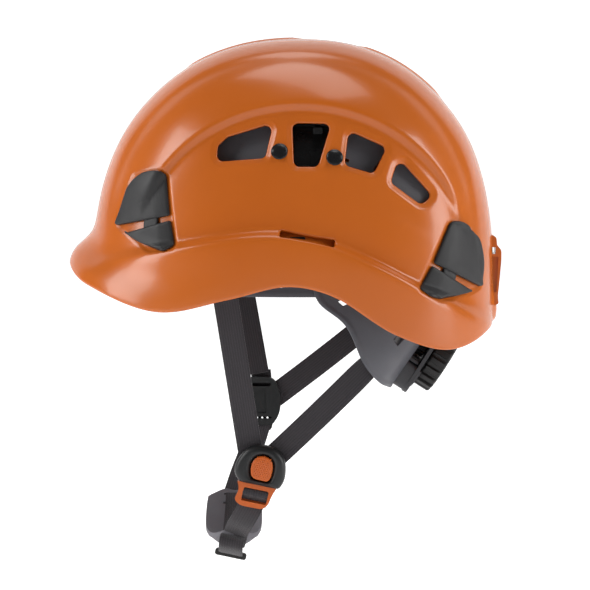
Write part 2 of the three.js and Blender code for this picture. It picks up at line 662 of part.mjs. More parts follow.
function makeNapeArms() {
  for (const [label, side] of SIDES) {
    const edge = (points) => new THREE.CatmullRomCurve3(mirrored(points, side));
    const [front, rear] = [edge(ARM_FRONT_EDGE), edge(ARM_REAR_EDGE)];
    const face = (lift) => Array.from({ length: ARM_STEPS + 1 }, (_, step) => {
      const share = step / ARM_STEPS;
      const [low, high] = [front.getPoint(share), rear.getPoint(share)];
      const along = front.getTangent(share).add(rear.getTangent(share));
      const normal = high.clone().sub(low).cross(along).normalize();
      normal.multiplyScalar(Math.sign(normal.y * side) * lift);
      return ARM_ACROSS.map((w) => low.clone().lerp(high, w).add(normal));
    });
    const { x, y, z } = NAPE_PIVOT;
    const axis = new THREE.Vector3(0, side, 0);
    const hole = rod(PIN_RADIUS + GAP, DRILL_REACH, new THREE.Vector3(x, side * y, z), axis, BORE_SIDES);
    add(`nape_arm_${label}`, cut(slab(face(ARM_WALL), face(0)), [hole]), DARK_GREY);
    const bandOuter = BAND_HALF_WIDTH + BAND_WALL - y;
    const foot = bandOuter - PIN.foot;
    const pin = [[0, foot], [PIN_RADIUS, foot], [PIN_RADIUS, PIN.under], [PIN_HEAD_RADIUS, PIN.under],
      [PIN_HEAD_RADIUS, PIN.edge], [0, PIN.top]];
    add(`nape_pin_${label}`, turned(pin, new THREE.Vector3(x, side * y, z), axis, 16), BLACK);
  }
}

// The wheel's own plane: y across the head, z up along the wheel's face, x along its axis.
const WHEEL_UP = WHEEL_AXIS.clone().cross(Y_AXIS);
const wheelFrame = planeFrame(WHEEL_CENTRE, Y_AXIS, WHEEL_UP);

function makeHousing() {
  const { bottom, top, halfWidth, front, back, corner } = HOUSING;
  const outline = (shrink) => roundedShape(rectangle(-halfWidth + shrink, bottom + shrink,
    halfWidth - shrink, top - shrink), corner);
  const coverBack = front + COVER_WALL;
  const body = plate(outline(0), coverBack + GAP, back, wheelFrame);
  const { halfHeight, front: cavityFront, back: cavityBack, corner: cavityCorner } = RACK_CAVITY;
  const mouth = halfWidth + CUT_PAST;
  const cavity = plate(roundedShape(rectangle(-mouth, -halfHeight, mouth, halfHeight), cavityCorner),
    cavityFront, cavityBack, wheelFrame);
  const bore = plate(circleShape(SHAFT_RADIUS + GAP), cavityBack - CUT_PAST, back + CUT_PAST, wheelFrame,
    ROUND_STEPS);
  add('ratchet_housing', cut(body, [cavity, bore]), MID_GREY);
  add('housing_cover', plate(outline(COVER_INSET), front, coverBack, wheelFrame), DARK_GREY);
  const padBack = front - GAP;
  add('nape_pad', plate(outline(NAPE_PAD_INSET), padBack - NAPE_PAD_WALL, padBack, wheelFrame), FOAM);
}

function circleShape(radius, x = 0, y = 0) {
  const shape = new THREE.Shape();
  shape.absarc(x, y, radius, 0, 2 * Math.PI);
  return shape;
}

// An outline that steps in and out between two radii, for grips and for gear teeth.
function notchedShape(count, outer, inner, share) {
  const pitch = (2 * Math.PI) / count;
  const corners = [[outer, 0], [outer, share], [inner, share + FLANK_SHARE], [inner, 1 - FLANK_SHARE]];
  return new THREE.Shape(Array.from({ length: count }, (_, index) => corners.map(([radius, part]) => {
    const angle = (index + part) * pitch;
    return new THREE.Vector2(radius * Math.cos(angle), radius * Math.sin(angle));
  })).flat());
}

function makeWheel() {
  const half = WHEEL_WALL / 2;
  const rim = notchedShape(WHEEL_GRIPS, WHEEL_RADIUS, WHEEL_RADIUS - WHEEL_GRIP_DEPTH, GRIP_SHARE);
  const { front, back } = RACK_CAVITY;
  const grip = plate(rim, -half, half, wheelFrame);
  const shaft = plate(circleShape(SHAFT_RADIUS), back + 2 * GAP, -half + CUT_PAST, wheelFrame, ROUND_STEPS);
  add('adjuster_knob', joined([grip, shaft]), BLACK);
  const teeth = notchedShape(PINION_TEETH, PINION_RADIUS, PINION_RADIUS - PINION_TOOTH, PINION_SHARE);
  add('pinion', plate(teeth, front + RACK_SIDE_GAP, back - GAP, wheelFrame), MID_GREY);
}

function makeRacks() {
  const { bottom, root, top, inner, outer, pitch, tooth } = RACK;
  const { front, back } = RACK_CAVITY;
  for (const [label, side] of SIDES) {
    const corners = [];
    for (let y = inner; y + pitch <= outer; y += pitch) {
      corners.push([y, bottom], [y + tooth, bottom], [y + tooth, root], [y + pitch, root]);
    }
    corners.push([outer, top], [inner, top]);
    const shape = new THREE.Shape(corners.map(([y, z]) => new THREE.Vector2(side * y, side * z)));
    add(`rack_${label}`, plate(shape, front + RACK_SIDE_GAP, back - RACK_SIDE_GAP, wheelFrame), MID_GREY);
  }
}

// ---- Chin straps -------------------------------------------------------------------------

function makeStraps() {
  for (const [label, side] of SIDES) {
    const front = mirrored([...FRONT_STRAP_TOP, FRONT_STRAP_END[label]], side);
    add(`strap_front_${label}`, strap(front, X_AXIS, X_AXIS, WEB_WIDTH, WEB_WALL, FRONT_STRAP_STEPS), WEBBING);
    const rear = mirrored([REAR_STRAP_TOP[label], REAR_STRAP_END[label]], side);
    const across = new THREE.Vector3(-1, 0, 1);
    add(`strap_rear_${label}`, strap(rear, across, across, WEB_WIDTH, WEB_WALL), WEBBING);
  }
  const left = mirrored(CHIN_STRAP_LEFT, LEFT);
  add('chin_strap_left', strap(left, X_AXIS, X_AXIS, WEB_WIDTH, WEB_WALL), WEBBING);
  const right = mirrored(CHIN_STRAP_RIGHT, RIGHT);
  add('chin_strap_right', strap(right, X_AXIS, X_AXIS, WEB_WIDTH, WEB_WALL), WEBBING);
}

// ---- Buckle ------------------------------------------------------------------------------

const buckleX = new THREE.Vector3(Math.cos(BUCKLE_TILT), 0, -Math.sin(BUCKLE_TILT));
const buckleY = new THREE.Vector3(Math.sin(BUCKLE_TILT), 0, Math.cos(BUCKLE_TILT));
const buckleFrame = planeFrame(BUCKLE_CENTRE, buckleX, buckleY);

function makeBuckle() {
  const { halfWidth, top, bottom, halfWall, corner } = BUCKLE;
  const { bottomHalf, bottomRise, shoulder, topHalf } = BUCKLE_WAIST;
  const right = [[bottomHalf, bottom], [halfWidth, bottom + bottomRise], [halfWidth, shoulder], [topHalf, top]];
  const left = right.map(([x, y]) => [-x, y]).reverse();
  const body = plate(roundedShape([...right, ...left], corner), -halfWall, halfWall, buckleFrame);
  const reach = PRONG.outer + PRONG_CLEARANCE;
  const depth = TONGUE.halfWall + PRONG_CLEARANCE;
  const slot = plate(roundedShape(rectangle(-reach, bottom - 2 * CUT_PAST, reach, PRONG.top + CUT_PAST), CUT_PAST),
    -depth, depth, buckleFrame);
  const pocket = plate(buttonShape(BUTTON_CLEARANCE), BUTTON_POCKET_FLOOR, halfWall + CUT_PAST, buckleFrame);
  add('buckle_body', cut(body, [slot, pocket]), BLACK);
  add('release_button', plate(buttonShape(0), BUTTON.back, BUTTON.front, buckleFrame), ORANGE);
  const spring = circleShape(SPRING_RADIUS, BUTTON.x, BUTTON.y);
  add('button_spring', plate(spring, BUTTON_POCKET_FLOOR + GAP, BUTTON.back - GAP, buckleFrame, ROUND_STEPS),
    STEEL);
}

function buttonShape(clearance) {
  const { x, y, halfWidth, halfHeight, corner } = BUTTON;
  const [w, h] = [halfWidth + clearance, halfHeight + clearance];
  return roundedShape(rectangle(x - w, y - h, x + w, y + h), corner);
}

function makeTongue() {
  const { halfWidth, top, bottom, halfWall, frameHalfWall, corner } = TONGUE;
  const frame = plate(roundedShape(rectangle(-halfWidth, bottom, halfWidth, top), corner),
    -frameHalfWall, frameHalfWall, buckleFrame);
  const window = TONGUE_WINDOW;
  const hole = roundedShape(rectangle(-window.halfWidth, window.bottom, window.halfWidth, window.top), window.corner);
  const opening = plate(hole, -frameHalfWall - CUT_PAST, frameHalfWall + CUT_PAST, buckleFrame);
  const prongs = [LEFT, RIGHT].map((side) => {
    const edges = [side * PRONG.inner, side * PRONG.outer].sort((a, b) => a - b);
    const outline = roundedShape(rectangle(edges[0], top - CUT_PAST, edges[1], PRONG.top), PRONG.corner);
    return plate(outline, -halfWall, halfWall, buckleFrame);
  });
  add('buckle_tongue', cut(joined([frame, ...prongs]), [opening]), ORANGE);
}

// ---- Chin cup ----------------------------------------------------------------------------

function makeCup() {
  const { near, far, wall, halfWidth, taper, rim, x: cupX, drift } = CHIN_CUP;
  const [rows, columns] = CUP_STEPS;
  const cupPoint = (along, across, depth) => {
    const end = 2 * along - 1;
    const reach = halfWidth * (1 - taper * end * end);
    const keel = CUP_KEEL.z - CUP_KEEL.sag * Math.sin(Math.PI * along) + CUP_KEEL.rise * along ** CUP_KEEL.power;
    const height = keel + rim * across * across - depth;
    return new THREE.Vector3(cupX - drift * along + reach * across, lerp(near, far, along), height);
  };
  const face = (depth) => Array.from({ length: rows + 1 }, (_, i) => (
    Array.from({ length: columns + 1 }, (__, j) => cupPoint(i / rows, (2 * j) / columns - 1, depth))));
  add('chin_cup', slab(face(0), face(wall)), MID_GREY);
}

function makeStrapTip() {
  const { x, y, z, halfWidth, halfHeight, halfWall, corner, tilt } = STRAP_TIP;
  const tipFrame = planeFrame(new THREE.Vector3(x, y, z), new THREE.Vector3(Math.cos(tilt), 0, Math.sin(tilt)),
    new THREE.Vector3(-Math.sin(tilt), 0, Math.cos(tilt)));
  const outline = roundedShape(rectangle(-halfWidth, -halfHeight, halfWidth, halfHeight), corner);
  add('strap_tip', plate(outline, -halfWall, halfWall, tipFrame), BLACK);
}

// ---- Divider -----------------------------------------------------------------------------

// The divider's plane faces right: x rearwards, y up, thickness towards the head.
const dividerFrame = planeFrame(DIVIDER_CENTRE, X_AXIS, Z_AXIS);

function makeDivider() {
  const { halfWidth, halfHeight, halfWall } = DIVIDER;
  const oval = new THREE.Shape();
  oval.absellipse(0, 0, halfWidth, halfHeight, 0, 2 * Math.PI);
  const body = plate(oval, -halfWall, halfWall, dividerFrame, ROUND_STEPS);
  const through = halfWall + CUT_PAST;
  const slots = DIVIDER_SLOTS.map((height) => {
    const corners = rectangle(-SLOT_HALF.width, height - SLOT_HALF.height, SLOT_HALF.width, height + SLOT_HALF.height);
    return plate(roundedShape(corners, SLOT_HALF.corner), -through, through, dividerFrame);
  });
  add('divider_body', cut(body, slots), BLACK);
}

function makeLever() {
  const { halfWidth, top, bottom, wall, corner, clearance } = LEVER;
  const { radius, drop } = LEVER_PIN;
  const outside = -DIVIDER.halfWall - clearance;
  const outline = roundedShape(rectangle(-halfWidth, bottom, halfWidth, top), corner);
  const blade = plate(outline, outside - wall, outside, dividerFrame);
  const barrel = new THREE.Vector3(0, top - drop, outside - wall / 2).applyMatrix4(dividerFrame);
  const drill = rod(radius + LEVER_PIN.clearance, halfWidth + CUT_PAST, barrel, X_AXIS, PIN_SIDES);
  add('divider_lever', cut(blade, [drill]), BLACK);
  add('divider_pin', rod(radius, halfWidth, barrel, X_AXIS, PIN_SIDES), STEEL);
}

makeShell();
makePlugs();
makeShutters();
makeClips();
makeBracket();
makeHeadband();
makeAnchors();
makeCradle();
makeNapeArms();
makeHousing();
makeWheel();
makeRacks();
makeStraps();
makeBuckle();
makeTongue();
makeCup();
makeStrapTip();
makeDivider();
makeLever();

export default helmet;
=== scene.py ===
# Climbing helmet: the looks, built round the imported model. Lengths are in millimetres inside the
# helper functions and become metres when a mesh is made. Front is -X, left is -Y, up is +Z.
import math

import bmesh
import bpy
import numpy as np
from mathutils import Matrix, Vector
from mathutils.geometry import tessellate_polygon


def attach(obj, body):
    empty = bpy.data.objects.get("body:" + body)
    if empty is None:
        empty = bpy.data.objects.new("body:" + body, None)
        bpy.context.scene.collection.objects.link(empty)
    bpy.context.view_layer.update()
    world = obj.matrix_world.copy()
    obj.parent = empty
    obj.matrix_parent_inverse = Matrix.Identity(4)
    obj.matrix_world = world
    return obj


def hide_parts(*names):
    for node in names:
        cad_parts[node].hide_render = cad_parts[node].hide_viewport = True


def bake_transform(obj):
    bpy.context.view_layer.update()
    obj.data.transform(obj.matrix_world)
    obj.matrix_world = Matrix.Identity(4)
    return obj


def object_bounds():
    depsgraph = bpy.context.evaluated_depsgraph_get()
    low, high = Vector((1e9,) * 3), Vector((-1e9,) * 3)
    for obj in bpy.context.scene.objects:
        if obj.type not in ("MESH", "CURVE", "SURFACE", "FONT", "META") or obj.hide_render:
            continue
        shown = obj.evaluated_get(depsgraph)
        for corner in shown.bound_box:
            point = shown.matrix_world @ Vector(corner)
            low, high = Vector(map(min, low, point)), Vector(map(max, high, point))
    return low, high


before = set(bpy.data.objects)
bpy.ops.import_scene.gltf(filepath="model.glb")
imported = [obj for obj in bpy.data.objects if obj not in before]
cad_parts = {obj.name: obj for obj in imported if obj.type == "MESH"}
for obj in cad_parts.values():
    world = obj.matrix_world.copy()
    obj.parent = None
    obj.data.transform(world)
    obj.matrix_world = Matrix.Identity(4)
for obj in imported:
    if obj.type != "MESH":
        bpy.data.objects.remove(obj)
cad_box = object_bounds()

MM = 0.001
LEFT, RIGHT = -1, 1
SIDES = (("left", LEFT), ("right", RIGHT))

# ---- Driving dimensions of the shell ---------------------------------------------------------
FRONT_LENGTH = 137.0
REAR_LENGTH = 128.0
HALF_WIDTH = 98.0
CROWN_HEIGHT = 153.0
SKIRT_DEPTH = 320.0
DOME_POWER = 2.25
SHELL_WALL = 2.8
# Heights of the rim and of the ledge above it, as (degrees from the forehead, height).
RIM_KNOTS = ((0, 6.5), (22, -6.8), (46, -21.5), (68, -13), (88, -4.5), (104, -11), (124, -35), (143, -46),
             (166, -36), (180, -31))
LEDGE_KNOTS = ((0, 2), (30, 12), (50, 19), (64, 24), (80, 27), (95, 25), (107, 18), (121, 6), (137, -10),
               (158, -26), (180, -34))
# The brim in front, and the skirt that flares below the ledge and flattens at the nape.
BRIM_REACH, BRIM_SPREAD, BRIM_RISE, BRIM_SOFTNESS = 17.0, 35.0, 12.0, 4.0
SKIRT_REACH, NAPE_SPREAD, NAPE_FLATTENING = 8.0, 40.0, 0.8
# The four vents of a side and its accessory slot, as corners (x, z).
VENTS = (
    ((-49.7, 72.6), (-48.7, 82.6), (-43.0, 88.0), (-13.9, 96.8), (-18.5, 75)),
    ((0, 69.5), (-1.5, 97), (23, 96.5), (15, 69.5)),
    ((32, 70.5), (34.5, 92), (58.5, 81.5), (50.5, 65)),
    ((61.5, 59.5), (66.5, 74.5), (87.5, 50.5), (81, 45)),
)
VENT_CORNER = 3.6
SLOT = ((-8.5, 26), (-8.5, 29.5), (26, 23), (26, 19.5))
SLOT_CORNER = 1.2
RIM_RADIUS = 1.1


# ---- Mesh helpers ----------------------------------------------------------------------------
def smooth_knots(knots, at):
    """A smooth curve through the knots, flat at both ends."""
    x, y = np.array(knots, float).T
    slope = np.zeros_like(y)
    slope[1:-1] = (y[2:] - y[:-2]) / (x[2:] - x[:-2])
    i = np.clip(np.searchsorted(x, at, side="right") - 1, 0, len(x) - 2)
    span = x[i + 1] - x[i]
    t = (np.clip(at, x[0], x[-1]) - x[i]) / span
    rise = (3 - 2 * t) * t * t
    return y[i] + (y[i + 1] - y[i]) * rise + span * t * (1 - t) * (slope[i] * (1 - t) - slope[i + 1] * t)


def soft(value, width):
    """1 well below zero, 0 well above it."""
    return 1 / (1 + np.exp(np.clip(value / width, -60, 60)))


def unit(v):
    return v / np.maximum(np.linalg.norm(v, axis=-1, keepdims=True), 1e-12)


def new_object(name, data):
    obj = bpy.data.objects.new(name, data)
    bpy.context.scene.collection.objects.link(obj)
    return obj


def make_mesh(name, points, faces, smooth=True, sharp_deg=40.0):
    mesh = bpy.data.meshes.new(name)
    mesh.from_pydata((np.asarray(points, float) * MM).tolist(), [], [tuple(int(i) for i in f) for f in faces])
    mesh.validate()
    if smooth:
        mesh.shade_smooth()
        mesh.set_sharp_from_angle(angle=math.radians(sharp_deg))
    return new_object(name, mesh)


def finish_piece(obj, body, material, nodes=()):
    """Gives a piece its finish, hides the CAD nodes it stands for, and hangs it from the body that carries
    it, if one body does.
    """
    obj.data.materials.clear()
    obj.data.materials.append(material)
    if body:
        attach(obj, body)
    if nodes:
        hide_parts(*nodes)
    return obj


# ---- Shell surface ---------------------------------------------------------------------------
def rim_height(turn):
    return smooth_knots(RIM_KNOTS, turn)


def ledge_height(turn):
    return smooth_knots(LEDGE_KNOTS, turn)


def base_reach(turn, z):
    """Distance of the shell from the Z axis, at turn degrees from the forehead."""
    angle = np.radians(turn)
    length = np.where(turn < 90, FRONT_LENGTH, REAR_LENGTH)
    height = np.where(z > 0, CROWN_HEIGHT, SKIRT_DEPTH)
    level = np.maximum(0, 1 - np.abs(z / height) ** DOME_POWER)
    plan = np.abs(np.cos(angle) / length) ** DOME_POWER + np.abs(np.sin(angle) / HALF_WIDTH) ** DOME_POWER
    brow = np.exp(-((turn / BRIM_SPREAD) ** 2))
    nape = NAPE_FLATTENING * np.exp(-(((180 - turn) / NAPE_SPREAD) ** 2))
    above = z - rim_height(turn)
    ends = np.abs(turn - 92) / 48
    ledge_softness = 1.1 + 2.6 * np.clip(ends - 0.75, 0, 1.5) ** 1.3
    ledge = SKIRT_REACH * (1 - brow) * (1 - nape) * soft(z - ledge_height(turn), ledge_softness)
    brim = BRIM_REACH * brow * soft(above - BRIM_RISE, BRIM_SOFTNESS)
    return (level / plan) ** (1 / DOME_POWER) + ledge + brim


# The arch round the vent panel (x, z), and the raised band along the crown.
ARC_CENTRE = (3.1, 4.3)
ARC_REACH = (106.0, 101.0)
ARC_STEP = 4.6
CREST_EDGE = 46.0
# Shallow seats round the lamp clips, front and rear, as corners (x, z).
CLIP_SEATS = (
    ((-115.6, 31), (-102, 62.5), (-82, 65.5), (-75.2, 18), (-92, 15.5)),
    ((79, -8), (98.4, 33), (112, 27), (118.3, -9), (110, -12), (93, -15.5)),
)
CLIP_SEAT_DEPTH = 1.1
CLIP_SEAT_CORNER = 3.0
CREST_STEP = 2.4
VENT_SLOPE_WIDTH, VENT_SLOPE_DEPTH = 2.9, 1.3
CROWN_SETTLE, REAR_BOSS = 2.6, 3.2


def vent_sink(x, y, z):
    """Depth of the sloping border round the vents."""
    distance = np.full(np.shape(x), 1e3)
    for corners in VENTS:
        distance = np.minimum(distance, polygon_distance(corners, VENT_CORNER, x, z))
    share = np.clip(1 - (distance - RIM_RADIUS) / VENT_SLOPE_WIDTH, 0, 1)
    return np.where(np.abs(y) > 30, VENT_SLOPE_DEPTH * share ** 0.85, 0)


def relief(x, y, z):
    """Raised and sunk forms of the outer face, measured along its normal."""
    flat = np.hypot((x - ARC_CENTRE[0]) / ARC_REACH[0], (z - ARC_CENTRE[1]) / ARC_REACH[1])
    outside = (flat - 1) * 103
    ends = soft(48 - z, 5) * soft(-(x + 118), 4) * soft(x - 114, 4)
    arc = ARC_STEP * soft(-outside, 0.75) * np.exp(-np.maximum(outside, 0) / 40) * ends
    width = np.abs(y)
    fade = soft(40 - z, 9) * soft(-(x + 122), 6)
    beside = np.exp(-np.maximum(width - CREST_EDGE, 0) / 16)
    crest = -CREST_STEP * soft(CREST_EDGE - width, 2.2) * beside * fade
    bead_run = soft(x - 1, 1.5) * soft(-74 - x, 1.5) + soft(x - 92, 1.5) * soft(42 - x, 1.5)
    bead = 1.1 * soft(width - 4.5, 0.5) * bead_run * soft(60 - z, 5)
    crease_z = 56 - 0.0025 * (x - 5) ** 2 - 0.16 * np.maximum(x, 0)
    panel = -0.9 * soft(crease_z - z, 2.0) * soft(outside, 2.0) * soft(np.abs(x - 12) - 66, 5)
    seat = np.zeros_like(x)
    for corners in CLIP_SEATS:
        seat = seat - CLIP_SEAT_DEPTH * soft(polygon_distance(corners, CLIP_SEAT_CORNER, x, z) - 1.1, 0.28)
    seat = np.where(width > 20, seat, 0)
    settle = -CROWN_SETTLE * soft(92 - z, 10) * soft(width - 46, 5)
    boss = REAR_BOSS * soft(width - 13, 1.6) * soft(-z - 33, 3) * soft(z + 15, 4) * (x > 0)
    return arc + crest + bead + panel + seat + settle + boss - vent_sink(x, y, z)


def shell_point(turn, side, z):
    reach = base_reach(turn, z)
    angle = np.radians(turn)
    return np.stack([-reach * np.cos(angle), side * reach * np.sin(angle), z], -1)


def base_normal(turn, side, z):
    e = 0.25
    zc = np.minimum(z, CROWN_HEIGHT - 0.6)
    around = shell_point(turn + e, side, zc) - shell_point(turn - e, side, zc)
    rise = shell_point(turn, side, zc + e) - shell_point(turn, side, zc - e)
    normal = unit(np.cross(around, rise))
    out = shell_point(turn, side, zc)
    flip = np.sign(np.sum(normal * out, -1, keepdims=True))
    return normal * np.where(flip == 0, 1, flip)


def outer_point(turn, side, z):
    base = shell_point(turn, side, z)
    lift = relief(base[..., 0], base[..., 1], base[..., 2])
    return base + base_normal(turn, side, z) * lift[..., None]


def outer_frame(turn, side, z):
    """The outer face's point, outward normal and upward tangent."""
    e = 0.2
    zc = np.minimum(z, CROWN_HEIGHT - 0.8)
    around = outer_point(turn + e, side, zc) - outer_point(turn - e, side, zc)
    rise = outer_point(turn, side, zc + e) - outer_point(turn, side, zc - e)
    normal = unit(np.cross(around, rise))
    point = outer_point(turn, side, z)
    centre = point * np.array([1, 1, 0.6])
    normal = normal * np.where(np.sum(normal * centre, -1, keepdims=True) < 0, -1, 1)
    return point, normal, unit(rise)


def on_side(x, z, side, lift=0.0):
    """The point over (x, z) on a side wall, moved out along the wall's normal."""
    x = np.asarray(x, float)
    z = np.asarray(z, float)
    low, high = np.zeros_like(x), np.full_like(x, 130.0)
    for _ in range(26):
        y = (low + high) / 2
        inside = np.hypot(x, y) < base_reach(np.degrees(np.arctan2(y, -x)), z)
        low, high = np.where(inside, y, low), np.where(inside, high, y)
    turn, height = np.degrees(np.arctan2(low, -x)), z.copy()
    for _ in range(4):
        point = outer_point(turn, side, height)
        step = 0.3
        along = (outer_point(turn + step, side, height) - point) / step
        up = (outer_point(turn, side, height + step) - point) / step
        miss_x, miss_z = x - point[..., 0], z - point[..., 2]
        det = along[..., 0] * up[..., 2] - along[..., 2] * up[..., 0]
        turn = turn + np.clip((miss_x * up[..., 2] - miss_z * up[..., 0]) / det, -6, 6)
        height = height + np.clip((along[..., 0] * miss_z - along[..., 2] * miss_x) / det, -6, 6)
    point, normal, _ = outer_frame(turn, side, height)
    return point + normal * np.asarray(lift, float)[..., None], normal


# ---- Outlines --------------------------------------------------------------------------------
def inset_polygon(corners, amount):
    """A convex polygon's corners, moved in so that every edge moves by amount."""
    p = np.array(corners, float)
    if np.sum(p[:, 0] * np.roll(p[:, 1], -1) - np.roll(p[:, 0], -1) * p[:, 1]) < 0:
        p = p[::-1]
    edge = unit(np.roll(p, -1, 0) - p)
    inward = np.stack([-edge[:, 1], edge[:, 0]], -1)
    out = []
    for i in range(len(p)):
        n0, n1 = inward[i - 1], inward[i]
        offsets = np.array([n0 @ p[i - 1] + amount, n1 @ p[i] + amount])
        out.append(np.linalg.solve(np.array([n0, n1]), offsets))
    return np.array(out)


def polygon_distance(corners, radius, x, z):
    """Signed distance to a convex outline with rounded corners, negative inside."""
    p = inset_polygon(corners, radius)
    best = np.full(np.shape(x), 1e9)
    inside = np.ones(np.shape(x), bool)
    for a, b in zip(p, np.roll(p, -1, 0)):
        e = b - a
        wx, wz = x - a[0], z - a[1]
        t = np.clip((wx * e[0] + wz * e[1]) / (e @ e), 0, 1)
        best = np.minimum(best, np.hypot(wx - e[0] * t, wz - e[1] * t))
        inside &= (e[0] * wz - e[1] * wx) >= 0
    return np.where(inside, -best, best) - radius


def rounded_outline(corners, radius, steps=6):
    """Points round a convex outline with rounded corners, counter-clockwise."""
    p = inset_polygon(corners, radius)
    points = []
    for i in range(len(p)):
        before, after = p[i] - p[i - 1], p[(i + 1) % len(p)] - p[i]
        start = math.atan2(before[1], before[0]) - math.pi / 2
        sweep = (math.atan2(after[1], after[0]) - math.atan2(before[1], before[0])) % (2 * math.pi)
        for k in range(steps + 1):
            angle = start + sweep * k / steps
            points.append(p[i] + radius * np.array([math.cos(angle), math.sin(angle)]))
    return np.array(points)


def box_outline(left, right, bottom, top, corner, steps=6):
    """A rectangle with rounded corners."""
    return rounded_outline([(left, bottom), (right, bottom), (right, top), (left, top)], corner, steps)


def resample(points, count):
    """The same closed outline with evenly spaced points."""
    loop = np.vstack([points, points[:1]])
    run = np.concatenate([[0], np.cumsum(np.linalg.norm(np.diff(loop, axis=0), axis=1))])
    at = np.linspace(0, run[-1], count, endpoint=False)
    return np.stack([np.interp(at, run, loop[:, i]) for i in range(loop.shape[1])], -1)


# ---- Materials -------------------------------------------------------------------------------
def new_material(name, color, roughness, coat=0.0, sheen=0.0, specular=0.5):
    """A principled material; returns it with its node tree and shader for further detail."""
    material = bpy.data.materials.new(name)
    material.use_nodes = True
    tree = material.node_tree
    shader = tree.nodes["Principled BSDF"]
    shader.inputs["Base Color"].default_value = (*linear(color), 1)
    shader.inputs["Roughness"].default_value = roughness
    shader.inputs["Coat Weight"].default_value = coat
    shader.inputs["Coat Roughness"].default_value = 0.08
    shader.inputs["Sheen Weight"].default_value = sheen
    shader.inputs["Specular IOR Level"].default_value = specular
    return material, tree, shader


def linear(color):
    """A 0 to 255 display colour as linear light."""
    shares = [c / 255 for c in color]
    return tuple(s / 12.92 if s <= 0.04045 else ((s + 0.055) / 1.055) ** 2.4 for s in shares)


def noise(tree, scale, detail=3.0, roughness=0.5):
    where = tree.nodes.new("ShaderNodeTexCoord")
    node = tree.nodes.new("ShaderNodeTexNoise")
    node.inputs["Scale"].default_value = scale
    node.inputs["Detail"].default_value = detail
    node.inputs["Roughness"].default_value = roughness
    tree.links.new(where.outputs["Object"], node.inputs["Vector"])
    return node


def ramp(tree, source, low, high, low_at=0.3, high_at=0.7):
    node = tree.nodes.new("ShaderNodeMapRange")
    node.inputs["From Min"].default_value = low_at
    node.inputs["From Max"].default_value = high_at
    node.inputs["To Min"].default_value = low
    node.inputs["To Max"].default_value = high
    tree.links.new(source, node.inputs["Value"])
    return node.outputs["Result"]


def tint(tree, shader, source, color_a, color_b, low_at=0.3, high_at=0.7):
    """Base colour that drifts between two colours with a texture."""
    node = tree.nodes.new("ShaderNodeMix")
    node.data_type = "RGBA"
    node.inputs["A"].default_value = (*linear(color_a), 1)
    node.inputs["B"].default_value = (*linear(color_b), 1)
    tree.links.new(ramp(tree, source, 0, 1, low_at, high_at), node.inputs["Factor"])
    tree.links.new(node.outputs["Result"], shader.inputs["Base Color"])


def bump(tree, shader, source, distance, strength=1.0, below=None):
    node = tree.nodes.new("ShaderNodeBump")
    node.inputs["Strength"].default_value = strength
    node.inputs["Distance"].default_value = distance
    tree.links.new(source, node.inputs["Height"])
    if below is not None:
        tree.links.new(below, node.inputs["Normal"])
    tree.links.new(node.outputs["Normal"], shader.inputs["Normal"])
    return node.outputs["Normal"]


def moulded(name, dark, light, roughness, grain=0.00006, grain_scale=900.0, specular=0.34):
    """Moulded plastic: a slow drift of colour, a fine spark grain and uneven gloss."""
    material, tree, shader = new_material(name, dark, roughness, specular=specular)
    drift = noise(tree, 22, 3)
    tint(tree, shader, drift.outputs["Fac"], dark, light)
    smudge = noise(tree, 60, 4, 0.6)
    gloss = ramp(tree, smudge.outputs["Fac"], roughness - 0.06, roughness + 0.08)
    tree.links.new(gloss, shader.inputs["Roughness"])
    fine = noise(tree, grain_scale, 2)
    bump(tree, shader, fine.outputs["Fac"], grain, 0.7)
    return material


def shell_material():
    material, tree, shader = new_material("shell_plastic", (184, 92, 28), 0.27, coat=0.12, specular=0.35)
    drift = noise(tree, 9, 2)
    tint(tree, shader, drift.outputs["Fac"], (181, 90, 25), (187, 95, 30))
    smudge = noise(tree, 40, 4, 0.6)
    tree.links.new(ramp(tree, smudge.outputs["Fac"], 0.2, 0.27), shader.inputs["Roughness"])
    peel = noise(tree, 260, 1)
    below = bump(tree, shader, peel.outputs["Fac"], 0.00003, 0.5)
    fine = noise(tree, 2400, 1)
    bump(tree, shader, fine.outputs["Fac"], 0.00001, 0.3, below)
    return material


def woven(name, dark, light, pitch=0.0009, across_pitch=0.0016):
    """Webbing: ribs across the tape and chevrons along it, laid out in the tape's own UV metres."""
    material, tree, shader = new_material(name, dark, 0.85, sheen=0.25, specular=0.3)
    uv = tree.nodes.new("ShaderNodeUVMap")
    uv.uv_map = "tape"
    split = tree.nodes.new("ShaderNodeSeparateXYZ")
    tree.links.new(uv.outputs["UV"], split.inputs["Vector"])

    def math_node(operation, a, b=None):
        node = tree.nodes.new("ShaderNodeMath")
        node.operation = operation
        for socket, value in zip(node.inputs, (a, b)):
            if value is None:
                continue
            if isinstance(value, (int, float)):
                socket.default_value = value
            else:
                tree.links.new(value, socket)
        return node.outputs[0]

    across = math_node("MULTIPLY", split.outputs["Y"], 2 * math.pi / across_pitch)
    zigzag = math_node("PINGPONG", split.outputs["Y"], across_pitch)
    slanted = math_node("ADD", split.outputs["X"], zigzag)
    along = math_node("MULTIPLY", slanted, 2 * math.pi / pitch)
    rib = math_node("MULTIPLY", math_node("ADD", math_node("SINE", along), 1.0), 0.5)
    warp = math_node("MULTIPLY", math_node("ADD", math_node("COSINE", across), 1.0), 0.5)
    weave = math_node("ADD", math_node("MULTIPLY", rib, 0.65), math_node("MULTIPLY", warp, 0.35))
    fuzz = noise(tree, 1500, 3)
    hairs = math_node("MULTIPLY", fuzz.outputs["Fac"], 0.35)
    mixed = math_node("ADD", math_node("MULTIPLY", weave, 0.8), hairs)
    tint(tree, shader, mixed, dark, light, 0.15, 0.95)
    bump(tree, shader, mixed, 0.00022, 0.9)
    return material


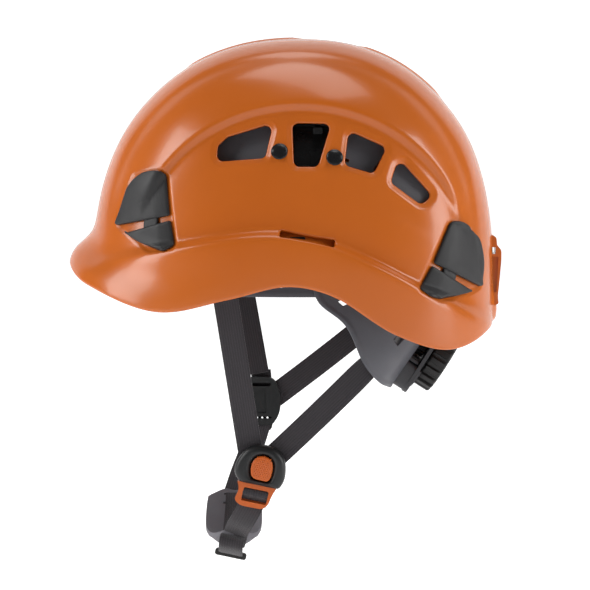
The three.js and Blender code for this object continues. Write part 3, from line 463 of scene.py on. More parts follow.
def foam_cloth(name, dark, light):
    """Brushed knit over foam."""
    material, tree, shader = new_material(name, dark, 0.95, sheen=0.4, specular=0.2)
    where = tree.nodes.new("ShaderNodeTexCoord")
    cells = tree.nodes.new("ShaderNodeTexVoronoi")
    cells.inputs["Scale"].default_value = 900
    tree.links.new(where.outputs["Object"], cells.inputs["Vector"])
    tint(tree, shader, cells.outputs["Distance"], dark, light, 0.1, 0.7)
    bump(tree, shader, cells.outputs["Distance"], 0.0003, 0.8)
    return material


ORANGE = shell_material()
ORANGE_TRIM = moulded("trim_orange", (180, 84, 28), (190, 91, 33), 0.36)
BLACK = moulded("black_plastic", (27, 27, 27), (35, 35, 35), 0.42)
CLIP_BLACK = moulded("clip_plastic", (31, 31, 32), (39, 38, 39), 0.5, grain=0.0001, grain_scale=1100)
GLOSS_BLACK = moulded("gloss_black", (16, 16, 17), (26, 26, 27), 0.22, grain=0.00001)
SHUTTER = moulded("shutter_plastic", (74, 73, 77), (86, 85, 89), 0.45)
DARK_GREY = moulded("dark_grey_plastic", (66, 66, 72), (76, 76, 82), 0.5)
MID_GREY = moulded("mid_grey_plastic", (54, 54, 57), (66, 66, 68), 0.52)
WHEEL = moulded("wheel_plastic", (20, 19, 19), (29, 28, 28), 0.45)
BUCKLE = moulded("buckle_plastic", (24, 25, 26), (33, 34, 35), 0.42)
CUP = moulded("cup_rubber", (96, 94, 100), (108, 106, 111), 0.58, grain=0.00012, grain_scale=1400)
STEEL = moulded("spring_steel", (176, 176, 178), (196, 196, 198), 0.3)
STEEL.node_tree.nodes["Principled BSDF"].inputs["Metallic"].default_value = 1.0
WEB = woven("webbing", (30, 27, 30), (60, 56, 60))
FOAM = foam_cloth("foam_pad", (34, 34, 37), (58, 58, 62))


# ---- Shell -----------------------------------------------------------------------------------
SHELL_COLUMNS = 660
SHELL_ROWS = 176


def even_steps(density, count):
    """Parameters from 0 to 1 whose spacing follows the wanted density."""
    fine = np.linspace(0, 1, 2001)
    run = np.concatenate([[0], np.cumsum((density(fine)[1:] + density(fine)[:-1]) / 2)])
    return np.interp(np.linspace(0, run[-1], count), run, fine)


def shell_grid():
    """Turn, side and height of every vertex of the shell's grid, row by row from rim to crown."""
    def busy(t):
        turn = np.abs(((t * 360 + 180) % 360) - 180)
        return np.where((turn > 30) & (turn < 152), 1.0, 0.6)

    def arc_speed(f):
        level = np.clip(f, 0, 0.9995)
        slope = level ** (DOME_POWER - 1) * (1 - level ** DOME_POWER) ** (1 / DOME_POWER - 1)
        return np.hypot(CROWN_HEIGHT + 22, 104 * slope) * np.where(f < 0.74, 1.0, 0.62)

    around = even_steps(busy, SHELL_COLUMNS + 1)[:-1] * 360
    rise = even_steps(arc_speed, SHELL_ROWS + 1)[:-1]
    turn = np.where(around <= 180, around, 360 - around)
    side = np.where(around <= 180, RIGHT, LEFT)
    turn = np.tile(turn, (SHELL_ROWS, 1))
    side = np.tile(side, (SHELL_ROWS, 1))
    low = rim_height(turn)
    height = low + (CROWN_HEIGHT - low) * rise[:, None]
    return turn, side, height


def hole_distance(turn, side, z):
    """Distance to the nearest cut-out's edge, negative inside it, seen from the side."""
    point = shell_point(turn, side, z)
    x, height = point[..., 0], point[..., 2]
    distance = polygon_distance(SLOT, SLOT_CORNER, x, height)
    for corners in VENTS:
        distance = np.minimum(distance, polygon_distance(corners, VENT_CORNER, x, height))
    return np.where(np.abs(point[..., 1]) > 30, distance, 1e3) - RIM_RADIUS


def snap_to_holes(turn, side, z):
    """Moves the vertices next to a cut-out's edge onto it, and says which they are."""
    distance = hole_distance(turn, side, z)
    near = np.abs(distance) < 0.85
    for _ in range(3):
        e = 0.05
        d = hole_distance(turn, side, z)
        slope_turn = (hole_distance(turn + e, side, z) - d) / e
        slope_z = (hole_distance(turn, side, z + e) - d) / e
        scale = slope_turn ** 2 + slope_z ** 2 + 1e-9
        move = np.where(near, d / scale, 0)
        turn = turn - np.clip(move * slope_turn, -0.8, 0.8)
        z = z - np.clip(move * slope_z, -1.2, 1.2)
    distance = np.where(near, 0.0, distance)
    return turn, z, distance


def shell_faces(distance):
    """Grid cells outside the cut-outs; a cell cut corner to corner gives one triangle."""
    rows, columns = distance.shape
    number = np.arange(rows * columns).reshape(rows, columns)
    sign = np.sign(distance).astype(int)
    a, b = number[:-1], np.roll(number[:-1], -1, 1)
    d, c = number[1:], np.roll(number[1:], -1, 1)
    cells = np.stack([a, b, c, d], -1).reshape(-1, 4)
    signs = sign.reshape(-1)[cells]
    faces = cells[(signs >= 0).all(1) & (signs > 0).any(1)].tolist()
    mixed = cells[(signs > 0).any(1) & (signs < 0).any(1)]
    for cell in mixed:
        for corner in range(4):
            if sign.reshape(-1)[cell[corner]] > 0:
                faces.append([cell[corner - 1], cell[corner], cell[(corner + 1) % 4]])
    pole = rows * columns
    top = number[-1]
    faces += [[top[i], top[(i + 1) % columns], pole] for i in range(columns)]
    return faces


def boundary_edges(faces):
    """Directed edges that belong to one face only."""
    edges = {}
    for face in faces:
        for i, start in enumerate(face):
            end = face[(i + 1) % len(face)]
            if (end, start) in edges:
                del edges[(end, start)]
            else:
                edges[(start, end)] = True
    return list(edges)


def way_over_edge(turn, side, z, rises, at_rim):
    """The way out over each open edge: down at the rim, into the opening at a cut-out."""
    e = 0.1
    slope_turn = hole_distance(turn + e, side, z) - hole_distance(turn - e, side, z)
    slope_z = hole_distance(turn, side, z + e) - hole_distance(turn, side, z - e)
    around = shell_point(turn + e, side, z) - shell_point(turn - e, side, z)
    upwards = shell_point(turn, side, z + e) - shell_point(turn, side, z - e)
    per_degree, per_rise = (np.linalg.norm(v, axis=-1, keepdims=True) for v in (around, upwards))
    hole_way = -unit(unit(around) * slope_turn[:, None] / per_degree + rises * slope_z[:, None] / per_rise)
    return np.where(at_rim[:, None], -rises, hole_way)


def edge_rings(points, normals, way, wall, at_rim):
    """Rings of points that round the open edges, from the outer face over to the inner one."""
    radius = np.where(at_rim, SHELL_WALL / 2, RIM_RADIUS)[:, None]
    rings = []
    for k in range(1, 6):
        angle = math.pi * k / 6
        if angle <= math.pi / 2:
            depth = radius * (1 - math.cos(angle))
        else:
            depth = wall - radius * (1 + math.cos(angle))
        rings.append(points + way * radius * math.sin(angle) - normals * depth)
        if k == 3:
            rings.append(points + way * radius - normals * (wall - radius))
    return rings


def build_shell():
    turn, side, z = shell_grid()
    turn, z, distance = snap_to_holes(turn, side, z)
    point, normal, rise = outer_frame(turn, side, z)
    points = np.vstack([point.reshape(-1, 3), point[-1].mean(0, keepdims=True)])
    normals = np.vstack([normal.reshape(-1, 3), [[0, 0, 1]]])
    faces = shell_faces(distance)
    edges = boundary_edges(faces)
    rim_ids = sorted({int(i) for edge in edges for i in edge})
    ids = np.array(rim_ids)
    at_rim = ids < turn.shape[1]
    wall = SHELL_WALL - vent_sink(points[:, 0], points[:, 1], points[:, 2])[:, None]
    flat = [v.reshape(-1)[ids] for v in (turn, side, z)]
    way = way_over_edge(*flat, rise.reshape(-1, 3)[ids], at_rim)
    stack = [points, *edge_rings(points[ids], normals[ids], way, wall[ids], at_rim), points - normals * wall]
    starts = np.cumsum([0, *map(len, stack)]).tolist()
    inner = starts[-2]
    layers = [{i: i for i in rim_ids}]
    layers += [{i: start + k for k, i in enumerate(rim_ids)} for start in starts[1:-2]]
    layers.append({i: inner + i for i in rim_ids})
    everything = [list(f) for f in faces] + [[inner + i for i in reversed(f)] for f in faces]
    for a, b in edges:
        for upper, lower in zip(layers[:-1], layers[1:]):
            everything.append([upper[b], upper[a], lower[a], lower[b]])
    obj = make_mesh("helmet_shell", np.vstack(stack), everything, sharp_deg=60)
    first = obj.data.polygons[0]
    if first.normal.dot(first.center) < 0:
        obj.data.flip_normals()
    finish_piece(obj, "shell", ORANGE, ["outer_shell"])


build_shell()


# ---- Helpers for the fine pieces -------------------------------------------------------------
def plane_frame(origin, x, y):
    """Origin and axes of a drawing plane; points are (x, y) in it and z along its normal."""
    x, y = np.array(x, float), np.array(y, float)
    return np.array(origin, float), np.stack([x, y, np.cross(x, y)])


def placed(plane, points):
    origin, axes = plane
    return origin + np.asarray(points, float) @ axes


def soft_outline(corners, steps=7):
    """A closed outline from corners (x, y, cut): each is rounded from cut before it to cut after."""
    points = []
    flat = [np.array(c[:2], float) for c in corners]
    for i, (here, corner) in enumerate(zip(flat, corners)):
        before, after = flat[i - 1], flat[(i + 1) % len(flat)]
        start = here + unit(before - here) * corner[2]
        end = here + unit(after - here) * corner[2]
        for t in np.linspace(0, 1, steps):
            points.append((1 - t) ** 2 * start + 2 * t * (1 - t) * here + t * t * end)
    return np.array(points)


def catmull(points, count):
    """Evenly spaced points on a smooth curve through the given ones."""
    p = np.array(points, float)
    p = np.vstack([2 * p[0] - p[1], p, 2 * p[-1] - p[-2]])
    fine = []
    for i in range(1, len(p) - 2):
        for t in np.linspace(0, 1, 40, endpoint=False):
            a, b, c, d = p[i - 1], p[i], p[i + 1], p[i + 2]
            fine.append(0.5 * (2 * b + (c - a) * t + (2 * a - 5 * b + 4 * c - d) * t * t
                               + (3 * b - a - 3 * c + d) * t ** 3))
    fine = np.array(fine + [p[-2]])
    run = np.concatenate([[0], np.cumsum(np.linalg.norm(np.diff(fine, axis=0), axis=1))])
    at = np.linspace(0, run[-1], count)
    return np.stack([np.interp(at, run, fine[:, k]) for k in range(p.shape[1])], -1)


def mesh_object(name, body):
    """A new object from an edited mesh, which is freed."""
    mesh = bpy.data.meshes.new(name)
    body.to_mesh(mesh)
    body.free()
    return new_object(name, mesh)


def outward(obj):
    """Turns every face of a closed mesh outwards."""
    body = bmesh.new()
    body.from_mesh(obj.data)
    bmesh.ops.recalc_face_normals(body, faces=body.faces)
    body.to_mesh(obj.data)
    body.free()
    return obj


def bevelled(obj, width, segments=3, angle=32.0):
    """Rounds a piece's edges and keeps its broad faces flat in the shading."""
    modifier = obj.modifiers.new("rounding", "BEVEL")
    modifier.width = width * MM
    modifier.segments = segments
    modifier.limit_method = "ANGLE"
    modifier.angle_limit = math.radians(angle)
    modifier.harden_normals = True
    for polygon in obj.data.polygons:
        polygon.use_smooth = True
    return obj


def plate(name, outline, low, high, plane, holes=(), bevel=0.5, segments=3):
    """An outline with holes, thickened along its plane's normal, with rounded edges."""
    loops = [np.asarray(loop, float) for loop in (outline, *holes)]
    triangles = tessellate_polygon([[Vector((x, y, 0)) for x, y in loop] for loop in loops])
    flat = np.vstack(loops)
    count = len(flat)
    points = np.vstack([np.column_stack([flat, np.full(count, h)]) for h in (low, high)])
    faces = [tuple(t) for t in triangles] + [tuple(count + i for i in reversed(t)) for t in triangles]
    first = 0
    for loop in loops:
        size = len(loop)
        for i in range(size):
            a, b = first + i, first + (i + 1) % size
            faces.append((a, b, b + count, a + count))
        first += size
    obj = outward(make_mesh(name, placed(plane, points), faces, smooth=False))
    return bevelled(obj, bevel, segments)


def rings_mesh(name, rings, sharp_deg=40.0):
    """Closed loops of equal length joined in order, with a fan at each end."""
    size = len(rings[0])
    points = [p for ring in rings for p in ring]
    faces = []
    for r in range(len(rings) - 1):
        for i in range(size):
            a, b = r * size + i, r * size + (i + 1) % size
            faces.append((a, b, b + size, a + size))
    for row in (0, len(rings) - 1):
        centre = len(points)
        points.append(np.mean(rings[row], axis=0))
        faces += [(row * size + i, row * size + (i + 1) % size, centre) for i in range(size)]
    return outward(make_mesh(name, points, faces, sharp_deg=sharp_deg))


def slab_mesh(name, front, back, sharp_deg=40.0):
    """A body between two equal grids of points, closed round its border."""
    front, back = np.asarray(front, float), np.asarray(back, float)
    rows, columns = front.shape[:2]
    number = np.arange(rows * columns).reshape(rows, columns)
    faces = []
    for layer in (0, rows * columns):
        a, b = number[:-1, :-1] + layer, number[:-1, 1:] + layer
        c, d = number[1:, 1:] + layer, number[1:, :-1] + layer
        faces += np.stack([a, b, c, d], -1).reshape(-1, 4).tolist()
    border = np.concatenate([number[0, :-1], number[:-1, -1], number[-1, :0:-1], number[:0:-1, 0]])
    for a, b in zip(border, np.roll(border, -1)):
        faces.append((a, b, b + rows * columns, a + rows * columns))
    points = np.vstack([front.reshape(-1, 3), back.reshape(-1, 3)])
    return outward(make_mesh(name, points, faces, sharp_deg=sharp_deg))


def turned(name, profile, origin, axis, segments=64, sharp_deg=35.0):
    """A turned body from (radius, height) points; both ends lie on the axis."""
    axis = unit(np.array(axis, float))
    side = unit(np.cross(axis, [0.31, 0.2, 0.93]))
    other = np.cross(axis, side)
    rings = []
    for radius, height in profile[1:-1]:
        angle = np.linspace(0, 2 * math.pi, segments, endpoint=False)[:, None]
        rings.append(origin + axis * height + radius * (np.cos(angle) * side + np.sin(angle) * other))
    obj = rings_mesh(name, rings, sharp_deg=sharp_deg)
    mesh = obj.data
    for index, height in ((-2, profile[0][1]), (-1, profile[-1][1])):
        mesh.vertices[len(mesh.vertices) + index].co = Vector((origin + axis * height) * MM)
    return obj


def arc_points(centre, radius, start, end, steps):
    """Points (x, y) on an arc, angles in degrees."""
    angle = np.radians(np.linspace(start, end, steps))
    return [(centre[0] + radius * math.cos(a), centre[1] + radius * math.sin(a)) for a in angle]


# ---- Lamp clips ------------------------------------------------------------------------------
# Wings as corners (x, z, rounding), with the crease across each as two points. The surface falls away
# past the crease: falls is 1 where that is towards +X and -1 where it is towards -X.
CLIPS = {
    "front": {
        "upper": ((-116.3, 29.9, 2.2), (-104.8, 59.0, 9.5), (-90.5, 66.6, 6.5), (-81.2, 64.6, 4.2),
                  (-78.3, 37.5, 1.2)),
        "lower": ((-109.0, 25.2, 0.8), (-77.8, 34.6, 1.2), (-75.0, 18.6, 1.8), (-82.6, 14.4, 3.2),
                  (-92.0, 17.4, 5.0)),
        "upper_crease": ((-88.5, 62.3), (-87.5, 35.1)),
        "lower_crease": ((-85.0, 29.9), (-83.9, 15.8)),
        "neck": ((-95.6, 27.0, 0.6), (-95.0, 36.0, 0.6), (-85.8, 37.5, 0.6), (-86.2, 29.0, 0.6)),
        "falls": 1,
    },
    "rear": {
        "upper": ((86.8, 7.8, 1.5), (97.6, 34.2, 3.2), (104.0, 33.6, 3.2), (110.8, 29.2, 4.0),
                  (116.2, 20.6, 5.0), (118.4, 8.5, 5.0), (118.2, -9.8, 2.5)),
        "lower": ((86.0, 6.2, 1.2), (78.2, -7.9, 1.5), (87.8, -15.3, 5.0), (100.5, -14.6, 6.0),
                  (111.2, -11.4, 1.0)),
        "upper_crease": ((103.9, 29.7), (93.3, 3.8)),
        "lower_crease": ((92.5, 1.4), (88.1, -14.0)),
        "neck": ((92.0, -3.5, 0.6), (93.4, 7.0, 0.6), (101.6, 2.0, 0.6), (99.6, -7.0, 0.6)),
        "falls": -1,
    },
}
CLIP_POINTS = 132
CREASE_FALL = 0.17
# From the edge inwards: inset, then height over the seat.
CLIP_EDGE = ((0.9, 0.25), (0.35, 0.3), (0.0, 0.75), (0.0, 2.3), (0.12, 2.75), (0.42, 3.1), (0.9, 3.3),
             (1.6, 3.4))
CLIP_FILL = (0.8, 0.62, 0.44, 0.28, 0.13)


def inward_loop(points, amount):
    """A closed outline with every point moved inwards along its normal."""
    step = np.roll(points, -1, 0) - np.roll(points, 1, 0)
    normal = unit(np.stack([-step[:, 1], step[:, 0]], -1))
    area = np.sum(points[:, 0] * np.roll(points[:, 1], -1) - np.roll(points[:, 0], -1) * points[:, 1])
    return points + normal * amount * (1 if area > 0 else -1)


def pillow_wing(name, corners, side, rings, crease=None, falls=1, height_scale=1.0):
    """A wing lying on the side wall: rounded edge, and two facets that meet along a crease."""
    outline = resample(soft_outline(corners), CLIP_POINTS)
    centre = outline.mean(0)
    loops = [(inward_loop(outline, inset), height * height_scale) for inset, height in rings]
    base = inward_loop(outline, rings[-1][0])
    for share in CLIP_FILL:
        loops.append((centre + (base - centre) * share, rings[-1][1] * height_scale))
    out = []
    for loop, height in loops:
        lift = np.full(len(loop), height + CLIP_SEAT_DEPTH - 1.0)
        if crease is not None and height > 1.5:
            start, end = np.array(crease[0]), np.array(crease[1])
            along = unit(end - start)
            over = np.array([along[1], -along[0]])
            past = (loop - start) @ over * falls * np.sign(over[0])
            lift = lift - CREASE_FALL * np.where(past > 0, np.hypot(past, 0.35) - 0.35, 0)
        point, _ = on_side(loop[:, 0], loop[:, 1], side, lift)
        out.append(point)
    return rings_mesh(name, out, sharp_deg=55)


def joined_pieces(name, pieces):
    """Several meshes as one piece, with their modifiers applied."""
    bpy.context.view_layer.update()
    state = bpy.context.evaluated_depsgraph_get()
    body = bmesh.new()
    for piece in pieces:
        applied = bpy.data.meshes.new_from_object(piece.evaluated_get(state))
        body.from_mesh(applied)
        bpy.data.meshes.remove(applied)
    for piece in pieces:
        bpy.data.objects.remove(piece)
    return mesh_object(name, body)


def build_clips():
    for place, clip in CLIPS.items():
        for label, side in SIDES:
            parts = [pillow_wing("wing", clip[wing], side, CLIP_EDGE, clip[f"{wing}_crease"], clip["falls"])
                     for wing in ("upper", "lower")]
            parts.append(pillow_wing("neck", clip["neck"], side, CLIP_EDGE, height_scale=0.62))
            piece = joined_pieces(f"clip_{place}_{label}", parts)
            finish_piece(piece, "shell", CLIP_BLACK, [f"lamp_clip_{place}_{label}"])


SLOT_TRAY = ((-10.5, 24.4, 1), (-10.5, 31.2, 1), (28, 24.8, 1), (28, 18.0, 1))
TRAY_EDGE = ((0.3, -6.0), (0.0, -5.7), (0.0, -4.6), (0.3, -4.3))


def build_slot_trays():
    """The shell's own back wall behind each accessory slot."""
    for label, side in SIDES:
        piece = pillow_wing(f"slot_tray_{label}", SLOT_TRAY, side, TRAY_EDGE)
        finish_piece(piece, "shell", ORANGE)


build_clips()
build_slot_trays()


# ---- Guide plugs -----------------------------------------------------------------------------
PLUG_PLACES = (("front", -9.2, 77.7), ("rear", 25.2, 74.0))
PLUG_STEM_END = -8.0
PLUG_PROFILE = ((0, PLUG_STEM_END), (1.6, PLUG_STEM_END), (1.6, 0.2), (4.9, 0.25), (5.3, 0.55), (5.35, 1.3),
                (5.1, 1.7), (4.7, 1.85), (4.45, 1.7), (4.2, 1.8), (3.2, 2.15), (1.8, 2.35), (0.6, 2.42),
                (0, 2.43))
CONE_SLOPE = (85 - 65.6) / (102 - 60)


def cone_width(radius):
    """Half-width of the cone that the shutters slide on, at a radius round the Y axis."""
    return 85 - CONE_SLOPE * (radius - 60)


def build_plugs():
    for place, x, z in PLUG_PLACES:
        radius = math.hypot(x, z)
        for label, side in SIDES:
            axis = unit(np.array([CONE_SLOPE * x / radius, side, CONE_SLOPE * z / radius]))
            seat, _ = on_side([x], [z], side)
            piece = turned(f"plug_{place}_{label}", PLUG_PROFILE, seat[0], axis)
            finish_piece(piece, "shell", GLOSS_BLACK, [f"guide_plug_{place}_{label}"])


build_plugs()


# ---- Vent shutters ---------------------------------------------------------------------------
SHUTTER_WALL = 1.4
SHUTTER_ANGLES = (29.0, 126.0)
SHUTTER_RADII = (62.0, 101.0)
# Windows and plug slots as start and end angle, inner and outer radius.
SHUTTER_CUTS = ((48.3, 53.6, 83, 95), (70, 75.8, 84, 96), (92.7, 98.5, 84, 96),
                (90.4, 98.8, 75.5, 80.5), (64.6, 73.2, 75.5, 80.5))
POCKET = (76.4, 91.6, 68.5, 95.8)
POCKET_DEPTH = 5.0
TAB_PLACE = (14.4, 91.0)
TAB_REACH, RIB_REACH = (66.5, 78.4), (78.0, 79.5)
TAB_RIBS = 4


def pocket_depth(angle, radius):
    """How far the blade is dished behind the second vent."""
    low, high, inner, outer = POCKET
    margin = np.minimum(np.minimum(angle - low, high - angle) * radius * math.pi / 180,
                        np.minimum(radius - inner, outer - radius))
    share = np.clip(margin / 1.2, 0, 1)
    return POCKET_DEPTH * share ** 2 * (3 - 2 * share)


def grid_lines(low, high, step, stops):
    """Values from low to high, about a step apart, that include every stop."""
    marks = sorted({low, high, *(s for s in stops if low < s < high)})
    lines = []
    for a, b in zip(marks[:-1], marks[1:]):
        lines += np.linspace(a, b, max(1, round((b - a) / step)), endpoint=False).tolist()
    return np.array(lines + [high])


def holed_grid(first, second, holes):
    """Both values at every point of a grid over two ranges (low, high, step), and the grid's open cells.

    A hole is (low, high, low, high); it is cut at both signs of the first value."""
    stops = [v for h in holes for v in (h[0], h[1], -h[0], -h[1])]
    rows = grid_lines(*first, stops)
    columns = grid_lines(*second, [v for h in holes for v in h[2:]])
    a, b = np.meshgrid(rows, columns, indexing="ij")
    middle_a = np.abs(a[:-1, :-1] + a[1:, 1:]) / 2
    middle_b = (b[:-1, :-1] + b[1:, 1:]) / 2
    keep = np.ones(middle_a.shape, bool)
    for start, end, low, high in holes:
        keep &= ~((middle_a > start) & (middle_a < end) & (middle_b > low) & (middle_b < high))
    number = np.arange(a.size).reshape(a.shape)
    cells = np.stack([number[:-1, :-1], number[:-1, 1:], number[1:, 1:], number[1:, :-1]], -1)
    return a, b, cells[keep].tolist()


def holes_round(places):
    """Holes (low, high, low, high) from middles and half sizes (a, b, half of a, half of b)."""
    return [(a - half_a, a + half_a, b - half_b, b + half_b) for a, b, half_a, half_b in places]


def sheet_mesh(name, top, under, cells):
    """Two equal grids of points joined into a closed sheet over the open cells."""
    count = top[..., 0].size
    faces = cells + [[count + i for i in reversed(c)] for c in cells]
    faces += [(b, a, a + count, b + count) for a, b in boundary_edges(cells)]
    return outward(make_mesh(name, np.vstack([top.reshape(-1, 3), under.reshape(-1, 3)]), faces))


def build_blade(side, angle, radius, cells):
    """The curved plate of a shutter, dished behind the second vent."""
    turn = np.radians(angle)
    dish = pocket_depth(angle, radius)
    layers = []
    for depth in (0, SHUTTER_WALL):
        y = side * (cone_width(radius) - depth - dish)
        layers.append(np.stack([radius * np.cos(turn), y, radius * np.sin(turn)], -1))
    return sheet_mesh("blade", *layers, cells)


def build_tab(side):
    """The thumb tab behind the second vent, with fine ribs on its outer face."""
    plane = plane_frame((TAB_PLACE[0], 0, TAB_PLACE[1]), (1, 0, 0), (0, 0, 1))

    def outwards(low, high):
        return (low, high) if side == LEFT else (-high, -low)

    parts = [plate("tab", box_outline(-2.9, 2.9, -2, 2, 0.7), *outwards(*TAB_REACH), plane, bevel=0.3)]
    for k in range(TAB_RIBS):
        x = -2.1 + 4.2 * k / (TAB_RIBS - 1)
        outline = box_outline(x - 0.4, x + 0.4, -1.8, 1.8, 0.3)
        parts.append(plate("rib", outline, *outwards(*RIB_REACH), plane, bevel=0.2, segments=2))
    return parts


def paint_pocket_shade(piece):
    """Paints shade into the dish behind the second vent: its faces get the gloss black plastic, which stands
    for the shade deep in the dish.
    """
    piece.data.materials.append(GLOSS_BLACK)
    start, end, inner, outer = POCKET
    for polygon in piece.data.polygons:
        centre = polygon.center / MM
        at = math.degrees(math.atan2(centre.z, centre.x))
        reach = math.hypot(centre.x, centre.z)
        if start - 0.5 < at < end + 0.5 and inner - 0.5 < reach < outer + 0.5:
            polygon.material_index = 1


def build_shutters():
    angle, radius, cells = holed_grid((*SHUTTER_ANGLES, 0.75), (*SHUTTER_RADII, 0.9), SHUTTER_CUTS)
    for label, side in SIDES:
        parts = [build_blade(side, angle, radius, cells), *build_tab(side)]
        piece = joined_pieces(f"shutter_{label}", parts)
        finish_piece(piece, f"{label}_shutter", SHUTTER, [f"{label}_vent_shutter"])
        # Painted shade: the dish behind the second vent is coloured gloss black to stand for the shade in it.
        paint_pocket_shade(piece)


build_shutters()


# ---- Rear bracket ----------------------------------------------------------------------------
BRACKET_SIDE = ((121, 25.5, 1), (129.9, 21.4, 1.4), (130.3, 16.2, 1.0), (133.2, 13.0, 1.6), (133.2, 6, 2),
                (131.8, -10, 2), (131.0, -17.5, 2), (131.6, -22.5, 1.2), (121, -26.5, 1))
BRACKET_WINDOW = box_outline(124.9, 129.3, 10.4, 14.8, 0.5, 3)
BRACKET_PANEL = rounded_outline([(124.6, -14.5), (130.0, -14.5), (131.2, 8.6), (124.6, 8.6)], 0.8, 3)
BRACKET_CORE = 11.4
BRACKET_HALF = 13.0
SIDE_PLANE = plane_frame((0, 0, 0), (1, 0, 0), (0, 0, 1))


def build_bracket():
    outline = soft_outline(BRACKET_SIDE, 5)
    core = plate("core", outline, -BRACKET_CORE, BRACKET_CORE, SIDE_PLANE, [BRACKET_WINDOW], bevel=0.2)
    parts = [core]
    for low, high in ((BRACKET_CORE - 0.2, BRACKET_HALF), (-BRACKET_HALF, 0.2 - BRACKET_CORE)):
        cheek = plate("cheek", outline, low, high, SIDE_PLANE, [BRACKET_WINDOW, BRACKET_PANEL], bevel=0.2)
        parts.append(cheek)
    piece = bevelled(joined_pieces("bracket_rear", parts), 0.55)
    finish_piece(piece, "shell", ORANGE, ["rear_bracket"])


build_bracket()


# ---- Headband --------------------------------------------------------------------------------
HEAD_CENTRE_X = -4.0
BAND_HALF = (98.0, 78.0)
BAND_WALL = 1.6
BAND_HEIGHTS = (-14.0, 16.0)
BAND_END = 112.0
BAND_SLOTS = [(turn, turn + 3.2, low, low + 4.0) for turn in range(56, 86, 7) for low in (-8.0, 6.0)]
BAND_SLOTS += [(turn, turn + 6.0, -2.0, 3.0) for turn in (64, 76, 97)]


def band_reach(turn, offset):
    angle = np.radians(turn)
    return 1 / np.hypot(np.cos(angle) / (BAND_HALF[0] + offset), np.sin(angle) / (BAND_HALF[1] + offset))


def band_point(turn, offset, z):
    """A point outside the headband's inner face; turn is signed, positive to the right."""
    reach = band_reach(turn, offset)
    angle = np.radians(turn)
    return np.stack([HEAD_CENTRE_X - reach * np.cos(angle), reach * np.sin(angle), z + 0 * reach], -1)


def build_headband():
    turn, height, cells = holed_grid((-BAND_END, BAND_END, 1.6), (*BAND_HEIGHTS, 2.0), BAND_SLOTS)
    edge = np.minimum(height - BAND_HEIGHTS[0], BAND_HEIGHTS[1] - height)
    rib = 0.5 * np.exp(-((edge - 2.2) / 0.9) ** 2)
    outer, inner = band_point(turn, BAND_WALL + rib, height), band_point(turn, 0.0, height)
    piece = bevelled(sheet_mesh("headband_ring", outer, inner, cells), 0.35, 2, 50)
    finish_piece(piece, "shell", DARK_GREY, ["headband"])


build_headband()


def cushion(name, face, count, thickness, channels=(), channel_depth=0.5, seam=0.55):
    """A crowned pad: face(u, v, lift) places a point; u and v run 0 to 1; its sides pull in to a seam."""
    u = np.linspace(0, 1, count[0])
    v = np.linspace(0, 1, count[1])
    uu, vv = np.meshgrid(u, v, indexing="ij")
    edge_u = 1 - np.abs(2 * uu - 1) ** 8
    edge_v = 1 - np.abs(2 * vv - 1) ** 4
    crown = np.sqrt(np.clip(edge_u * edge_v, 0, 1))
    for place in channels:
        crown = crown * (1 - channel_depth * np.exp(-((uu - place) / 0.012) ** 2))
    pucker = 0.03 * np.sin(uu * 150) * np.exp(-((crown - 0.25) / 0.2) ** 2)
    top = face(uu, vv, thickness * (0.18 + 0.82 * np.clip(crown + pucker, 0, 1.1)))
    under = face(uu, vv, thickness * seam * 0.3 * (1 - crown) ** 2)
    return slab_mesh(name, top, under, 75)


def build_brow_pad():
    def face(u, v, lift):
        return band_point(-50 + 100 * u, -0.4 - lift, -11 + 24 * v)

    piece = cushion("pad_brow", face, (260, 40), 4.0, (0.17, 0.34, 0.5, 0.66, 0.83))
    finish_piece(piece, "shell", FOAM, ["brow_pad"])


build_brow_pad()


def rounded_copy(name, node, bevel):
    """A CAD node's own form with its flat facets merged and its edges rounded."""
    body = bmesh.new()
    body.from_mesh(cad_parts[node].data)
    bmesh.ops.remove_doubles(body, verts=body.verts, dist=0.02 * MM)
    bmesh.ops.dissolve_limit(body, angle_limit=math.radians(1.0), verts=body.verts, edges=body.edges)
    obj = mesh_object(name, body)
    obj.data.materials.clear()
    return bevelled(obj, bevel, 3, 30.0)


def build_anchors():
    for place in ("front", "side", "rear"):
        for label, _ in SIDES:
            node = f"anchor_{place}_{label}"
            piece = rounded_copy(f"hanger_{place}_{label}", node, 1.0)
            finish_piece(piece, "shell", BLACK, [node])


build_anchors()


# ---- Webbing ---------------------------------------------------------------------------------
WEB_WIDTH = 16.0
WEB_WALL = 1.3
WEB_SECTION = 12


def ribbon(name, path, across, width=WEB_WIDTH, wall=WEB_WALL):
    """A woven tape along a path. across gives its width direction at each point of the path."""
    path = np.asarray(path, float)
    across = np.broadcast_to(np.asarray(across, float), path.shape)
    tangent = unit(np.gradient(path, axis=0))
    across = unit(across - np.sum(across * tangent, -1, keepdims=True) * tangent)
    normal = np.cross(tangent, across)
    share = np.linspace(-1, 1, WEB_SECTION)
    swell = 0.5 - 0.08 * (1 - share ** 2) + 0.06 * (np.abs(share) > 0.86)
    half = np.minimum(np.where(np.abs(share) > 0.995, 0.25, swell) * wall, wall / 2)
    ring_w = np.concatenate([share, share[::-1]]) * width / 2
    ring_n = np.concatenate([half, -half[::-1]])
    rings = path[:, None] + across[:, None] * ring_w[None, :, None] + normal[:, None] * ring_n[None, :, None]
    obj = rings_mesh(name, list(rings), sharp_deg=60)
    run = np.concatenate([[0], np.cumsum(np.linalg.norm(np.diff(path, axis=0), axis=1))])
    along = np.repeat(run, len(ring_w)) * MM
    over = np.tile(ring_w, len(path)) * MM
    along = np.concatenate([along, [run[0] * MM, run[-1] * MM]])
    over = np.concatenate([over, [0, 0]])
    tape_uv(obj, along, over)
    return obj


def tape_uv(obj, along, across):
    """Lays the weave: metres along the tape and across it, for every vertex."""
    layer = obj.data.uv_layers.new(name="tape")
    for loop in obj.data.loops:
        layer.data[loop.index].uv = (along[loop.vertex_index], across[loop.vertex_index])


